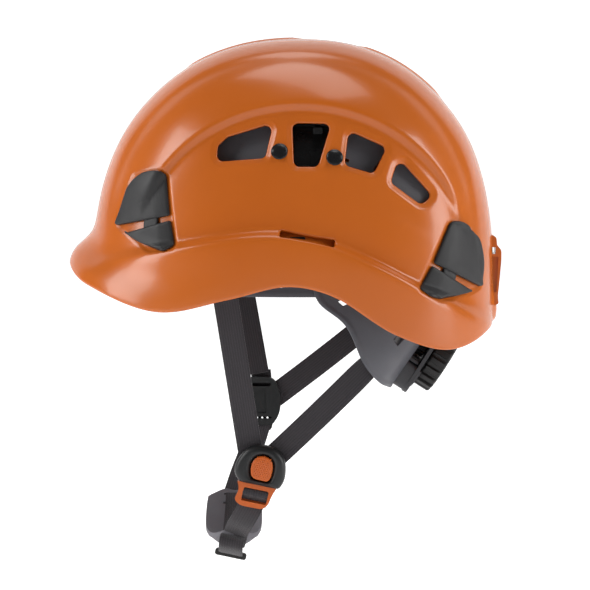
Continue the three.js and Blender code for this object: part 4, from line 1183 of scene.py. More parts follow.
def tape_piece(name, path, across, body, node=None, **shape):
    piece = ribbon(name, path, across, **shape)
    return finish_piece(piece, body, WEB, [node] if node else [])


# ---- Crown cradle ----------------------------------------------------------------------------
CRADLE_STAND_OFF = 5.0
CRADLE_HEIGHT = 108.0
CRADLE_STEP = 2.1
CRADLE_BOTTOM = 26.0
CRADLE_WIDTH = 18.0
CRADLE_STRAPS = (("cross", 92, 0), ("diagonal_a", 42, 1), ("diagonal_b", 138, 2))
CROWN_PAD_HALF = (42.0, 32.0)
CROWN_PAD_HEIGHT, CROWN_PAD_DROP, CROWN_PAD_GAP = 5.0, 13.0, 2.1


def build_cradle():
    for name, turn, layer in CRADLE_STRAPS:
        reach = float(band_reach(turn, CRADLE_STAND_OFF))
        height = CRADLE_HEIGHT + layer * CRADLE_STEP
        start = math.asin(CRADLE_BOTTOM / height)
        angle = np.linspace(start, math.pi - start, 120)
        out = np.array([-math.cos(math.radians(turn)), math.sin(math.radians(turn)), 0])
        path = np.outer(reach * np.cos(angle), out) + np.outer(height * np.sin(angle), [0, 0, 1])
        path[:, 0] += HEAD_CENTRE_X
        across = np.cross([0, 0, 1], out)
        tape_piece(f"cradle_{name}", path, across, "shell", f"crown_strap_{name}",
                   width=CRADLE_WIDTH, wall=1.1)


def build_crown_pad():
    def face(u, share, lift):
        angle = 2 * math.pi * u
        x = HEAD_CENTRE_X + CROWN_PAD_HALF[0] * share * np.cos(angle)
        y = CROWN_PAD_HALF[1] * share * np.sin(angle)
        return np.stack([x, y, CRADLE_HEIGHT - CROWN_PAD_GAP - CROWN_PAD_DROP * share ** 2 - lift], -1)

    angles = np.linspace(0, 1, 97)[:-1]
    shares = np.concatenate([np.linspace(0.04, 0.92, 22), [0.95, 0.975, 0.99, 1.0]])
    quilt = np.exp(-(np.sin(angles * 2 * math.pi * 3) / 0.12) ** 2)
    upper = [face(angles, np.full_like(angles, share), 0.02) for share in shares]
    lower = []
    for share in shares:
        crown = math.sqrt(max(0.0, 1 - share ** 6))
        channel = 1 - 0.35 * quilt * (share > 0.3)
        lift = 0.3 + (CROWN_PAD_HEIGHT - 0.3) * crown * channel
        lower.append(face(angles, np.full_like(angles, share), lift))
    piece = rings_mesh("pad_crown", upper + lower[::-1], sharp_deg=75)
    finish_piece(piece, "shell", FOAM, ["crown_pad"])


build_cradle()
build_crown_pad()


# ---- Nape assembly ---------------------------------------------------------------------------
NAPE_PIVOT = (30.0, 76.5, -2.0)
PIN_PROFILE = ((0, -1.0), (2.5, -1.0), (2.5, 6.4), (5.2, 6.4), (5.5, 6.8), (5.5, 7.8), (5.1, 8.3), (3.4, 8.4),
               (3.0, 7.9), (1.2, 7.9), (0, 7.9))
ARM_FRONT_EDGE = ((9.5, 80.4, 4), (14.5, 80.0, -16.5), (32, 75.6, -32.5), (43, 66, -57), (52, 49, -70),
                  (59, 27, -76))
ARM_REAR_EDGE = ((44, 75, 10), (56, 71, -2), (66, 64.5, -16), (73, 55, -31), (79, 42, -40), (81.5, 27, -43))
ARM_WALL = 2.0
# Openings in the arms, as (along, across) shares of the arm with their half sizes.
ARM_NOTCHES = ((0.66, 0.74, 0.035, 0.13), (0.24, 0.35, 0.02, 0.12), (0.24, 0.68, 0.02, 0.12))
WHEEL_CENTRE = np.array([92.5, 0, -59.5])
WHEEL_AXIS = unit(np.array([0.846, 0, -0.533]))
WHEEL_UP = np.cross(WHEEL_AXIS, [0, 1, 0])
WHEEL_PLANE = plane_frame(WHEEL_CENTRE, (0, 1, 0), WHEEL_UP)


def arm_grid(side, along, across):
    """Points and outward normals of an arm's inner face."""
    front, rear = catmull(ARM_FRONT_EDGE, 400), catmull(ARM_REAR_EDGE, 400)
    at = along * 399
    index = np.arange(400)
    low = np.stack([np.interp(at, index, front[:, k]) for k in range(3)], -1)
    high = np.stack([np.interp(at, index, rear[:, k]) for k in range(3)], -1)
    point = low + (high - low) * across[..., None]
    d_along = np.gradient(point, axis=0)
    d_across = np.gradient(point, axis=1)
    normal = unit(np.cross(d_across, d_along))
    normal = normal * np.where(normal[..., 1:2] < 0, -1, 1)
    mirror = np.array([1, side, 1])
    return point * mirror, normal * mirror


def build_arms():
    along, across, cells = holed_grid((0.0, 1.0, 0.0125), (0.0, 1.0, 0.03), holes_round(ARM_NOTCHES))
    raised = np.minimum(across, 1 - across)
    lip = 0.55 * np.exp(-((raised - 0.045) / 0.03) ** 2)
    for label, side in SIDES:
        point, normal = arm_grid(side, along, across)
        outer = point + normal * (ARM_WALL + lip[..., None] - 0.4)
        piece = bevelled(sheet_mesh(f"nape_wing_{label}", outer, point, cells), 0.45, 3, 50)
        finish_piece(piece, "nape", DARK_GREY, [f"nape_arm_{label}"])
        pivot = np.array(NAPE_PIVOT) * (1, side, 1)
        pin = turned(f"pivot_pin_{label}", PIN_PROFILE, pivot, (0, side, 0))
        finish_piece(pin, "shell", BLACK, [f"nape_pin_{label}"])


build_arms()


HOUSING = {"bottom": -31.0, "top": 16.0, "half": 24.0, "front": -25.0, "back": -7.2}
COVER_WALL = 2.0
RACK_CAVITY = {"half": 10.5, "front": -19.6, "back": -9.6}
WHEEL_RADIUS, WHEEL_GRIP, WHEEL_HALF, WHEEL_GRIPS = 23.0, 2.0, 6.0, 20


def ring_rib(name, radius, width, low, high, start, end):
    """A raised arc round the wheel's axis, drawn as a bent bar between two radii."""
    steps = max(8, int(abs(end - start) / 4))
    outline = arc_points((0, 0), radius + width / 2, start, end, steps)
    outline += arc_points((0, 0), radius - width / 2, end, start, steps)
    return plate(name, outline, low, high, WHEEL_PLANE, bevel=min(0.35, width / 3), segments=3)


def build_housing():
    half, bottom, top, back = HOUSING["half"], HOUSING["bottom"], HOUSING["top"], HOUSING["back"]
    front = HOUSING["front"] + COVER_WALL + 0.4
    shaft = arc_points((0, 0), 3.9, 0, 345, 24)
    outline = soft_outline(((-half, bottom + 2, 8), (-9, bottom, 6), (9, bottom, 6), (half, bottom + 2, 8),
                            (half, top, 7), (-half, top, 7)), 9)
    parts = [plate("wall", outline, RACK_CAVITY["back"], back, WHEEL_PLANE, [shaft], bevel=1.0),
             plate("floor", outline, front, RACK_CAVITY["front"], WHEEL_PLANE, bevel=0.5)]
    for sign in (1, -1):
        inner = sign * RACK_CAVITY["half"]
        edge = top if sign > 0 else bottom + 1.2
        low, high = sorted((inner, edge - sign * 0.6))
        block = box_outline(0.5 - half, half - 0.5, low, high, 4.0)
        parts.append(plate("block", block, RACK_CAVITY["front"] - 0.5, RACK_CAVITY["back"] + 0.5, WHEEL_PLANE,
                           bevel=0.6))
    parts.append(ring_rib("rim", 25.4, 1.6, back - 0.6, back + 1.5, -150, -30))
    for x in (-19.5, 19.5):
        boss, hole = arc_points((x, 10.5), 2.4, 0, 345, 24), arc_points((x, 10.5), 1.1, 0, 330, 12)
        parts.append(plate("boss", boss, back - 0.5, back + 0.5, WHEEL_PLANE, [hole], bevel=0.2))
    piece = joined_pieces("housing_ratchet", parts)
    finish_piece(piece, "nape", MID_GREY, ["ratchet_housing"])
    cover_outline = box_outline(1 - half, half - 1, bottom + 1, top - 1, 5.5, 8)
    slots = [box_outline(x - 1.4, x + 1.4, -9, 6, 1.3, 4) for x in (-12, -4, 4, 12)]
    cover = plate("cover_inner", cover_outline, HOUSING["front"], HOUSING["front"] + COVER_WALL, WHEEL_PLANE,
                  slots, bevel=0.6)
    finish_piece(cover, "nape", DARK_GREY, ["housing_cover"])


def build_nape_pad():
    half, low, high = HOUSING["half"] - 4, HOUSING["bottom"] + 4, HOUSING["top"] - 4
    front = HOUSING["front"] - 0.4

    def face(u, v, lift):
        x, y = -half + 2 * half * u, low + (high - low) * v
        pull = 1 - 0.06 * (np.abs(2 * v - 1) ** 6)
        return placed(WHEEL_PLANE, np.stack([x * pull, y, front - lift], -1))

    piece = cushion("pad_nape", face, (90, 90), 5.0, (0.33, 0.67))
    finish_piece(piece, "nape", FOAM, ["nape_pad"])


def grip_outline(outer, inner):
    """The wheel's edge: square-cut grips with deep narrow notches between them."""
    points = []
    pitch = 2 * math.pi / WHEEL_GRIPS
    grip = ((0.0, outer - 0.25), (0.03, outer), (0.15, outer), (0.3, outer), (0.47, outer),
            (0.5, outer - 0.25), (0.555, inner + 0.15), (0.59, inner), (0.75, inner), (0.91, inner),
            (0.945, inner + 0.15))
    for k in range(WHEEL_GRIPS):
        for part, radius in grip:
            a = (k + part) * pitch
            points.append((radius * math.cos(a), radius * math.sin(a)))
    return np.array(points)


def build_wheel():
    """Grips round the edge, a dished outer face with a hub, and fine rim lines on the inner face."""
    inner = WHEEL_RADIUS - WHEEL_GRIP
    h = WHEEL_HALF
    levels = ((-h, -1.4), (-h + 0.25, -0.7), (-h + 0.7, -0.15), (-h + 1.2, 0), (h - 1.6, 0), (h - 0.9, -0.25),
              (h - 0.35, -0.9), (h, -2.0))
    rings = []
    for z, grow in levels:
        loop = grip_outline(WHEEL_RADIUS + grow, inner + min(grow * 0.4, 0))
        rings.append(placed(WHEEL_PLANE, np.column_stack([loop, np.full(len(loop), z)])))
    size = len(rings[0])
    angle = np.linspace(0, 2 * math.pi, size, endpoint=False)
    circle = np.stack([np.cos(angle), np.sin(angle)], -1)

    def round_ring(radius, z):
        return placed(WHEEL_PLANE, np.column_stack([circle * radius, np.full(size, z)]))

    face = [(18.6, h - 0.1), (18.2, h - 0.4), (17.6, h - 1.4), (13.0, h - 1.9), (9.2, h - 1.9),
            (8.8, h - 1.2), (8.2, h - 0.9), (4, h - 0.75), (0.6, h - 0.7)]
    rings += [round_ring(r, z) for r, z in face]
    back = [(20.6, -h), (20.4, -h + 0.5), (19.8, -h + 0.5), (19.6, -h), (17.6, -h), (17.4, -h + 0.5),
            (16.8, -h + 0.5), (16.6, -h), (6, -h)]
    rings = [round_ring(r, z) for r, z in reversed(back)] + rings
    shaft = [(3.5, -h), (3.5, RACK_CAVITY["back"] + 0.9), (3.1, RACK_CAVITY["back"] + 0.8)]
    rings = [round_ring(r, z) for r, z in reversed(shaft)] + rings
    piece = rings_mesh("knob_wheel", rings, sharp_deg=38)
    finish_piece(piece, "wheel", WHEEL, ["adjuster_knob"])


def build_gears():
    for node, name, body in (("pinion", "gear_pinion", "wheel"), ("rack_left", "bar_rack_left", "left_rack"),
                             ("rack_right", "bar_rack_right", "right_rack")):
        piece = rounded_copy(name, node, 0.2)
        finish_piece(piece, body, MID_GREY, [node])


build_housing()
build_nape_pad()
build_wheel()
build_gears()


# ---- Upper chin straps -----------------------------------------------------------------------
FRONT_STRAP_TOP = ((-49.8, 88, 9), (-45.3, 78, -12), (-43.3, 74.5, -20))
FRONT_STRAP_END = {"left": (-29.8, 49.2, -119), "right": (-32, 60, -77)}
REAR_STRAP_END = {"left": (-17.0, 49.2, -122.0), "right": (-20.5, 60, -93.0)}
REAR_STRAP_TOP = {"left": (58.0, 55, -48.0), "right": (52.5, 63, -36.0)}


def sagging(points, count, sag):
    """A smooth path through the points that bellies a little between its ends."""
    path = catmull(points, count)
    share = np.linspace(0, 1, count)
    return path + np.outer(np.sin(math.pi * share), sag)


def build_straps():
    for label, side in SIDES:
        mirror = np.array([1, side, 1])
        front = np.array([*FRONT_STRAP_TOP, FRONT_STRAP_END[label]]) * mirror
        path = sagging(front, 150, (0, side * 0.8, 0))
        tape_piece(f"webbing_front_{label}", path, (1, 0, 0), "shell", f"strap_front_{label}")
        rear = np.array([REAR_STRAP_TOP[label], REAR_STRAP_END[label]]) * mirror
        path = sagging(rear, 110, (0, side * 1.2, -0.8))
        share = np.linspace(0, 1, len(path))[:, None]
        turn = np.exp(-((share - 0.04) / 0.16) ** 2)
        across = unit(np.array([[-1, 0, 1]]) * (1 - 0.25 * turn) + np.array([[0, side * 0.75, 0]]) * turn)
        piece = tape_piece(f"webbing_rear_{label}", path, across, None, f"strap_rear_{label}")
        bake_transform(piece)


build_straps()


# ---- Buckle ----------------------------------------------------------------------------------
BUCKLE_TILT = math.radians(11.5)
BUCKLE_PLANE = plane_frame((-22.8, -55, -125.3), (math.cos(BUCKLE_TILT), 0, -math.sin(BUCKLE_TILT)),
                           (math.sin(BUCKLE_TILT), 0, math.cos(BUCKLE_TILT)))
BUCKLE_OUTLINE = ((-2.7, 14.3, 4.7), (7.3, 13.7, 4.2), (14.3, 8.0, 3.7), (16.4, 0, 3.7), (16.7, -6.9, 3.7),
                  (13.9, -12.2, 1.9), (-11.8, -12.2, 2.6), (-16.7, -6.7, 3.4), (-16.4, 0.5, 3.7),
                  (-11.6, 10.7, 4.7))
BUTTON_CORNERS = ((-6.5, -1.6, 3.4), (-5.6, 4.6, 3.2), (-1.2, 7.6, 2.6), (3.6, 7.6, 2.6), (7.4, 4.4, 3.2),
                  (8.1, -2.0, 3.4), (6.8, -8.4, 2.4), (-4.6, -8.2, 3.6))
BUCKLE_POINTS, BUTTON_POINTS = 144, 220
# The buckle's shell in profile: the back as (share of the outline, height), then the side as
# (inset, height), then the dish round the button as (share of the way to the pocket, height).
BUCKLE_BACK = ((0.25, -5), (0.6, -5), (0.9, -4.8))
BUCKLE_EDGE = ((0.7, -4.4), (0.2, -3.4), (0, -2), (0, 0), (0.0, 1.8), (0.35, 3.2), (0.95, 4.2), (1.8, 4.85))
BUCKLE_DISH = ((0.12, 5.2), (0.25, 5.45), (0.4, 5.6), (0.55, 5.65), (0.7, 5.55), (0.82, 5.25), (0.92, 4.7))
# The pocket as (share of its own outline, height), a little wider than the button.
POCKET_SHARE = 1.11
POCKET_WALL = ((0.985, 3.5), (0.985, -3.4), (0.5, -3.4))
PRONG_SLOT = (-11.5, 11.5, -13.5, 3.8)
PRONG_SLOT_HALF = 2.1
BUTTON_TOP, BUTTON_CROWN = 6.2, 0.45


def carve(obj, *cutters):
    """Cuts closed meshes out of a piece."""
    for cutter in cutters:
        modifier = obj.modifiers.new("cut", "BOOLEAN")
        modifier.operation = "DIFFERENCE"
        modifier.solver = "MANIFOLD"
        modifier.object = cutter
    bpy.context.view_layer.update()
    evaluated = obj.evaluated_get(bpy.context.evaluated_depsgraph_get())
    mesh = bpy.data.meshes.new_from_object(evaluated)
    obj.modifiers.clear()
    obj.data = mesh
    for cutter in cutters:
        bpy.data.objects.remove(cutter)
    return obj


def raised(flat, height):
    """A flat outline of the buckle's plane placed at a height over it."""
    return placed(BUCKLE_PLANE, np.column_stack([flat, np.zeros(len(flat)) + height]))


def matched(outline, other):
    """The second outline's points reordered to start nearest the first one's start."""
    start = np.argmin(np.linalg.norm(other - outline[0], axis=1))
    return np.roll(other, -start, axis=0)


def build_buckle():
    """A pillowed body, dished round the button, with a slot below for the tongue's prongs."""
    outline = resample(soft_outline(BUCKLE_OUTLINE)[::-1], BUCKLE_POINTS)
    button = matched(outline, resample(soft_outline(BUTTON_CORNERS)[::-1], BUCKLE_POINTS))
    centre = button.mean(0)
    pocket = centre + (button - centre) * POCKET_SHARE
    rings = [(centre + (outline - centre) * s, z) for s, z in BUCKLE_BACK]
    rings += [(inward_loop(outline, inset), z) for inset, z in BUCKLE_EDGE]
    base = inward_loop(outline, BUCKLE_EDGE[-1][0])
    rings += [(base + (pocket - base) * share, z) for share, z in BUCKLE_DISH]
    rings += [(pocket, 4.1)] + [(centre + (pocket - centre) * s, z) for s, z in POCKET_WALL]
    body = rings_mesh("buckle_shell", [raised(flat, z) for flat, z in rings], sharp_deg=50)
    slot = box_outline(*PRONG_SLOT, 1.0, 3)
    cutter = plate("cutter", slot, -PRONG_SLOT_HALF, PRONG_SLOT_HALF, BUCKLE_PLANE, bevel=0.01, segments=1)
    cutter.modifiers.clear()
    carve(body, cutter)
    body.data.set_sharp_from_angle(angle=math.radians(40))
    finish_piece(body, "shell", BUCKLE, ["buckle_body"])


def dimples(x, y, pitch=1.55, radius=0.5, depth=0.28):
    """Depth of a staggered field of round dimples at points of the button's face."""
    row = np.round(y / (pitch * 0.866))
    shift = np.where(row % 2 == 0, 0.0, pitch / 2)
    dx = (x - shift) - np.round((x - shift) / pitch) * pitch
    dy = y - row * pitch * 0.866
    return depth * np.clip(1 - (np.hypot(dx, dy) / radius) ** 2, 0, 1)


def build_button():
    outline = resample(soft_outline(BUTTON_CORNERS)[::-1], BUTTON_POINTS)
    centre = outline.mean(0)
    rings = [(centre + (outline - centre) * s, 1.0, 0) for s in (0.3, 0.97)]
    base = inward_loop(outline, 0.6)
    rings += [(outline, 1.4, 0), (outline, BUTTON_TOP - 1.5, 0),
              (inward_loop(outline, 0.2), BUTTON_TOP - 0.9, 0), (base, BUTTON_TOP - BUTTON_CROWN, 0)]
    for share in np.linspace(0.95, 0.06, 42):
        height = BUTTON_TOP - BUTTON_CROWN + BUTTON_CROWN * (1 - share ** 2)
        rings.append((centre + (base - centre) * share, height, 1))
    loops = []
    for flat, z, dimpled in rings:
        inner = 1 - np.linalg.norm(flat - centre, axis=1) / np.linalg.norm(base - centre, axis=1)
        pits = dimples(flat[:, 0], flat[:, 1]) * np.clip((inner - 0.1) / 0.08, 0, 1) if dimpled else 0
        loops.append(raised(flat, z - pits))
    piece = rings_mesh("push_button", loops, sharp_deg=60)
    finish_piece(piece, "button", ORANGE_TRIM, ["release_button"])


def build_spring():
    """The coil that returns the button."""
    turns, radius, wire = 4.5, 2.6, 0.4
    low, high = -3.0, 0.7
    rings = []
    for t in np.linspace(0, 1, 160):
        a = 2 * math.pi * turns * t
        middle = np.array([1.0 + radius * math.cos(a), -1.8 + radius * math.sin(a), low + (high - low) * t])
        out = np.array([math.cos(a), math.sin(a), 0])
        ring = [middle + wire * 0.5 * (out * math.cos(b) + np.array([0, 0, 1]) * math.sin(b))
                for b in np.linspace(0, 2 * math.pi, 8, endpoint=False)]
        rings.append(placed(BUCKLE_PLANE, ring))
    piece = rings_mesh("coil_button", rings, sharp_deg=80)
    finish_piece(piece, None, STEEL, ["button_spring"])
    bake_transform(piece)


TONGUE_OUTLINE = ((-13.2, -11.9, 0.8), (12.6, -11.9, 0.8), (10.6, -17.2, 2.5), (9.4, -23.5, 2.0),
                  (6.4, -27.0, 2.5), (-8.6, -27.2, 3.0), (-12.9, -24.2, 2.5), (-10.9, -16.5, 3.0))
TONGUE_WINDOW = ((-8.0, -14.9, 1.2), (8.3, -14.9, 1.2), (8.0, -23.8, 1.0), (-8.6, -23.8, 1.4))


def build_tongue():
    window = soft_outline(TONGUE_WINDOW)
    parts = [plate("frame", soft_outline(TONGUE_OUTLINE), -2.6, 2.6, BUCKLE_PLANE, [window], 0.9, 4)]
    low_bar = box_outline(-8.6, 8.4, -24.6, -21.4, 0.6, 3)
    parts.append(plate("bar", low_bar, -2.5, -1.1, BUCKLE_PLANE, bevel=0.4))
    for side in (LEFT, RIGHT):
        low, high = sorted((side * 8.4, side * 11.0))
        prong = box_outline(low, high, -12.6, 3.0, 0.9, 4)
        parts.append(plate("prong", prong, -1.6, 1.6, BUCKLE_PLANE, bevel=0.4))
    piece = joined_pieces("tongue_frame", parts)
    finish_piece(piece, "tongue", ORANGE_TRIM, ["buckle_tongue"])


def build_tongue_loop():
    """The chin strap's fold round the tongue's bar, seen through its window."""
    axis = BUCKLE_PLANE[1][0]
    turn = np.linspace(0, 2 * math.pi, 24, endpoint=False)
    bar = [(-17.9 + 1.6 * math.cos(a), 1.6 * math.sin(a) - 0.1) for a in turn]
    rings = [placed(BUCKLE_PLANE, [(x, y, z) for y, z in bar]) for x in np.linspace(-8.7, 8.7, 6)]
    core = rings_mesh("bar_tongue", rings, sharp_deg=60)
    finish_piece(core, "tongue", ORANGE_TRIM)
    fold = catmull([(-22.6, -1.0), (-20.4, 0.9), (-18.6, 2.35), (-16.6, 1.9), (-15.7, 0.0), (-16.6, -2.0),
                    (-18.8, -3.1), (-22.5, -3.9), (-26.5, -4.3)], 90)
    path = placed(BUCKLE_PLANE, np.column_stack([np.zeros(len(fold)) - 0.1, fold]))
    tape_piece("webbing_loop", path, axis, "tongue", width=16.6, wall=1.2)


build_buckle()
build_button()
build_spring()
build_tongue()
build_tongue_loop()


# ---- Chin cup and lower straps ---------------------------------------------------------------
CHIN_STRAP_LEFT = ((-27.2, -50.6, -146.0), (-31.2, -49.6, -154.5), (-36.0, -44.5, -163.0),
                   (-39.6, -37.0, -169.6), (-42.0, -28.5, -177.0), (-43.5, -20.0, -182.0))
CHIN_STRAP_RIGHT = ((-30.5, 60, -111.0), (-33.5, 57.5, -121), (-37, 52, -132), (-42, 46, -145),
                    (-46.2, 40.2, -158.0))
CHIN_TAIL = ((-42.5, -28.0, -176.5), (-43.0, -33.0, -175.0), (-43.4, -37.2, -177.0), (-44.0, -36.0, -181.5),
             (-44.6, -29.5, -186.0), (-45.0, -22.5, -188.6))
DIVIDER_FOLD = ((-30, 63.3, -75), (-29.5, 63.2, -80), (-29, 63.1, -90))
TIP_PLACE, TIP_TILT = (-45, -22, -188.6), -0.2
CUP_NEAR, CUP_FAR, CUP_WALL = -33.0, 38.0, 2.4
CUP_HALF, CUP_TAPER, CUP_RIM = 19.0, 0.25, 10.0
# Slots as (along, across) shares with half sizes, where across runs from -1 to 1.
CUP_SLOTS = ((0.06, 0.0, 0.016, 0.5), (0.945, 0.0, 0.016, 0.5), (0.17, 0.0, 0.014, 0.5),
             (0.84, 0.0, 0.014, 0.5))


def cup_point(along, across, depth):
    end = 2 * along - 1
    reach = CUP_HALF * (1 - CUP_TAPER * end * end)
    keel = -180.5 - 6.5 * np.sin(math.pi * np.clip(along, 0, 1) ** 0.85) + 25 * np.clip(along, 0, 1) ** 1.5
    wall = 9.5 * np.clip(1 - along / 0.24, 0, 1) ** 1.5
    lobe = 3.0 * np.exp(-(((along - 0.72) / 0.2) ** 2)) * np.clip(-across, 0, 1) ** 2
    x = -43 - 3 * along + reach * across
    z = keel + CUP_RIM * across ** 2 * (1 - 0.6 * np.exp(-along / 0.08)) + wall + lobe - depth
    return np.stack([x, CUP_NEAR + (CUP_FAR - CUP_NEAR) * along, z], -1)


def build_cup():
    along, across, cells = holed_grid((0.0, 1.0, 0.0125), (-1.0, 1.0, 0.035), holes_round(CUP_SLOTS))
    # Round the cup's four corners by drawing the ends in.
    corner = np.clip((np.abs(across) - 0.25) / 0.75, 0, 1) ** 2.2
    drawn = along + (0.5 - along) * corner * 0.56
    margin = np.minimum(np.minimum(along, 1 - along) * 71, (1 - np.abs(across)) * 19)
    bead = 0.6 * np.exp(-((margin - 1.4) / 0.9) ** 2)
    inner = cup_point(drawn, across, -bead)
    outer = cup_point(drawn, across, CUP_WALL + bead)
    piece = bevelled(sheet_mesh("cup_chin", inner, outer, cells), 0.8, 4, 50)
    finish_piece(piece, "tongue", CUP, ["chin_cup"])


def build_chin_straps():
    path = catmull(CHIN_STRAP_LEFT, 70)
    tape_piece("webbing_chin_left", path, (0.93, 0.0, -0.36), "tongue", "chin_strap_left")
    tape_piece("webbing_tail", catmull(CHIN_TAIL, 60), (0.95, 0.0, -0.2), "tongue", wall=1.2)
    path = catmull(CHIN_STRAP_RIGHT, 90)
    piece = tape_piece("webbing_chin_right", path, (0.98, 0.0, -0.1), None, "chin_strap_right")
    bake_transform(piece)
    inside = cup_point(np.array((0.12, 0.2, 0.4, 0.6, 0.8, 0.95)), np.zeros(6), -1.2)
    tape_piece("webbing_cup", catmull(inside, 70), (1, 0, 0), "tongue", wall=1.1)
    tape_piece("webbing_fold", catmull(DIVIDER_FOLD, 24), (1, 0, 0), "shell", width=14.0, wall=1.1)


def build_tip():
    """The stiff end of the chin strap's tail, with five ribs."""
    along, up = (math.cos(TIP_TILT), 0, math.sin(TIP_TILT)), (-math.sin(TIP_TILT), 0, math.cos(TIP_TILT))
    plane = plane_frame(TIP_PLACE, along, up)
    parts = [plate("bar", box_outline(-10.5, 10.5, -2.2, 2.2, 1.6, 6), -1.5, 1.5, plane, bevel=0.6)]
    for x in (-8, -4, 0, 4, 8):
        rib = box_outline(x - 1.2, x + 1.2, -1.2, 1.0, 0.4, 3)
        parts.append(plate("rib", rib, 1.3, 1.75, plane, bevel=0.15, segments=2))
    tip = joined_pieces("end_tip", parts)
    finish_piece(tip, "tongue", BLACK, ["strap_tip"])


build_cup()
build_chin_straps()
build_tip()


# ---- Divider ---------------------------------------------------------------------------------
DIVIDER_PLANE = plane_frame((-29, 60, -96), (1, 0, 0), (0, 0, 1))
DIVIDER_OUTLINE = ((-12, 17.2, 9), (9.0, 16.6, 6), (13.6, 3, 6), (12.4, -9, 4), (7.6, -16.8, 3),
                   (-8, -16.8, 3), (-13.4, -6, 6), (-13.6, 6, 6))
DIVIDER_RECESS = ((-10.5, 3.5, 1.5), (2.5, 9.0, 1.5), (3.4, -8.6, 1.5), (-10.5, -8.6, 1.5))
DIVIDER_THUMB = ((-5.6, -10.8, 0.6), (7.0, -10.8, 0.6), (7.0, -12.4, 0.6), (-5.6, -12.4, 0.6))
LEVER_OUTLINE = ((-7.5, 5, 1.5), (7.5, 5, 1.5), (7.5, -16, 3), (6.2, -21.6, 3), (-6.2, -21.6, 3),
                 (-7.5, -16, 3))
LEVER_PIN = ((0, -7.5), (0.45, -7.5), (0.7, -7.2), (0.7, 7.2), (0.45, 7.5), (0, 7.5))
LEVER_PIN_PLACE = (0, 3.5, -4.7)


def build_divider():
    slots = [box_outline(-6.4, 6.4, h - 1.2, h + 1.2, 0.8, 4) for h in (11.5, -11.5)]
    outline = soft_outline(DIVIDER_OUTLINE)
    recess, thumb = soft_outline(DIVIDER_RECESS), soft_outline(DIVIDER_THUMB)
    parts = [plate("core", outline, -2.4, 1.0, DIVIDER_PLANE, slots, bevel=0.5),
             plate("face", outline, 0.9, 2.4, DIVIDER_PLANE, [recess, slots[0], thumb], bevel=0.5)]
    piece = joined_pieces("divider_plate", parts)
    finish_piece(piece, "shell", BUCKLE, ["divider_body"])
    holes = [arc_points((x, y), 0.75, 0, 330, 12) for x in (-3.6, 0, 3.6) for y in (-12.4, -15.6, -18.8)]
    lever = plate("lever_cam", soft_outline(LEVER_OUTLINE), -6.0, -3.4, DIVIDER_PLANE, holes, bevel=0.45)
    lever = joined_pieces("lever_cam", [lever])
    finish_piece(bevelled(lever, 0.4), "lever", BUCKLE, ["divider_lever"])
    pin = turned("pin_lever", LEVER_PIN, placed(DIVIDER_PLANE, [LEVER_PIN_PLACE])[0], (1, 0, 0), 24)
    finish_piece(pin, "shell", STEEL, ["divider_pin"])


build_divider()


# ---- Camera, light and floor -----------------------------------------------------------------
CAMERA_AIM = Vector((-3.3, 0, -18)) * MM
CAMERA_DISTANCE = 1500 * MM
CAMERA_AZIMUTH = math.radians(2.5)
CAMERA_ELEVATION = math.radians(4.0)
SENSOR = 36.0
# Width of the scene that the camera sees at the aim.
VIEW_WIDTH = 393.53 * MM
# Floor and backdrop, in metres.
FLOOR_GAP = 0.012
FLOOR_FRONT, FLOOR_BACK, FLOOR_CURVE, WALL_TOP, FLOOR_HALF = -4.0, 2.2, 0.8, 5.0, 5.0


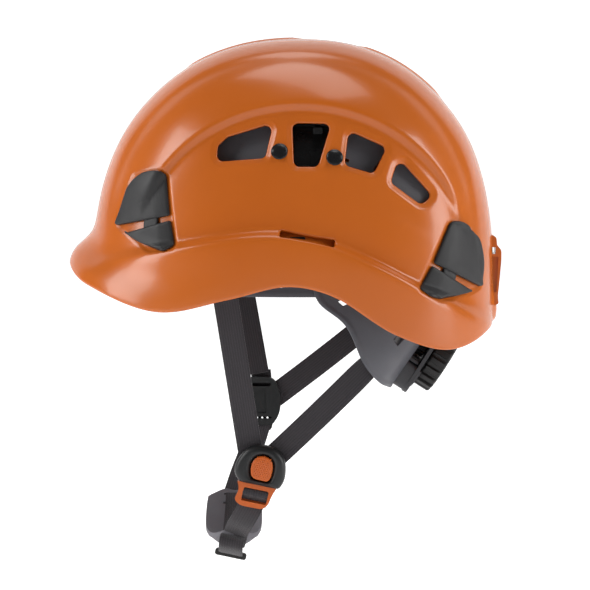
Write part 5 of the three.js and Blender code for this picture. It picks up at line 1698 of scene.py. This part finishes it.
def make_camera():
    camera = bpy.data.cameras.new("camera")
    camera.sensor_width = SENSOR
    camera.lens = SENSOR * CAMERA_DISTANCE / VIEW_WIDTH
    camera.clip_start = 0.05
    camera.clip_end = 50
    obj = new_object("camera", camera)
    back = Vector((math.sin(CAMERA_AZIMUTH) * math.cos(CAMERA_ELEVATION),
                   -math.cos(CAMERA_AZIMUTH) * math.cos(CAMERA_ELEVATION), math.sin(CAMERA_ELEVATION)))
    obj.location = CAMERA_AIM + back * CAMERA_DISTANCE
    obj.rotation_euler = back.to_track_quat("Z", "Y").to_euler()
    bpy.context.scene.camera = obj


def make_area(name, place, size, power):
    """A soft box at a place in metres that faces the origin."""
    light = bpy.data.lights.new(name, "AREA")
    light.shape = "RECTANGLE"
    light.size, light.size_y = size
    light.energy = power
    obj = new_object(name, light)
    obj.location = place
    obj.rotation_euler = Vector(place).to_track_quat("Z", "Y").to_euler()


def make_stage():
    """A pale floor that curves up into a backdrop, a soft sky and three soft boxes."""
    world = bpy.data.worlds.new("world")
    bpy.context.scene.world = world
    world.use_nodes = True
    world.node_tree.nodes["Background"].inputs["Color"].default_value = (1, 1, 1, 1)
    world.node_tree.nodes["Background"].inputs["Strength"].default_value = 0.12
    make_area("soft_box_left", (-1.6, -0.55, 0.7), (0.7, 1.5), 26)
    make_area("soft_box_right", (1.7, -0.45, 0.6), (0.6, 1.5), 22)
    make_area("soft_box_top", (0.1, 0.1, 1.9), (1.4, 0.8), 13)
    floor_z = cad_box[0][2] - FLOOR_GAP
    turn = np.linspace(0, math.pi / 2, 9)[1:]
    rows = [(FLOOR_FRONT, 0.0), (FLOOR_BACK, 0.0)]
    rows += [(FLOOR_BACK + FLOOR_CURVE * math.sin(a), FLOOR_CURVE * (1 - math.cos(a))) for a in turn]
    rows += [(FLOOR_BACK + FLOOR_CURVE, WALL_TOP)]
    points = [(x, y, floor_z + h) for y, h in rows for x in (-FLOOR_HALF, FLOOR_HALF)]
    faces = [(2 * i, 2 * i + 1, 2 * i + 3, 2 * i + 2) for i in range(len(rows) - 1)]
    mesh = bpy.data.meshes.new("floor")
    mesh.from_pydata(points, [], faces)
    mesh.shade_smooth()
    floor = new_object("floor", mesh)
    white, _, shader = new_material("floor_white", (250, 250, 250), 0.9)
    shader.inputs["Emission Color"].default_value = (1, 1, 1, 1)
    shader.inputs["Emission Strength"].default_value = 0.52
    floor.data.materials.append(white)


make_camera()
make_stage()
bpy.context.scene.view_settings.view_transform = "Standard"
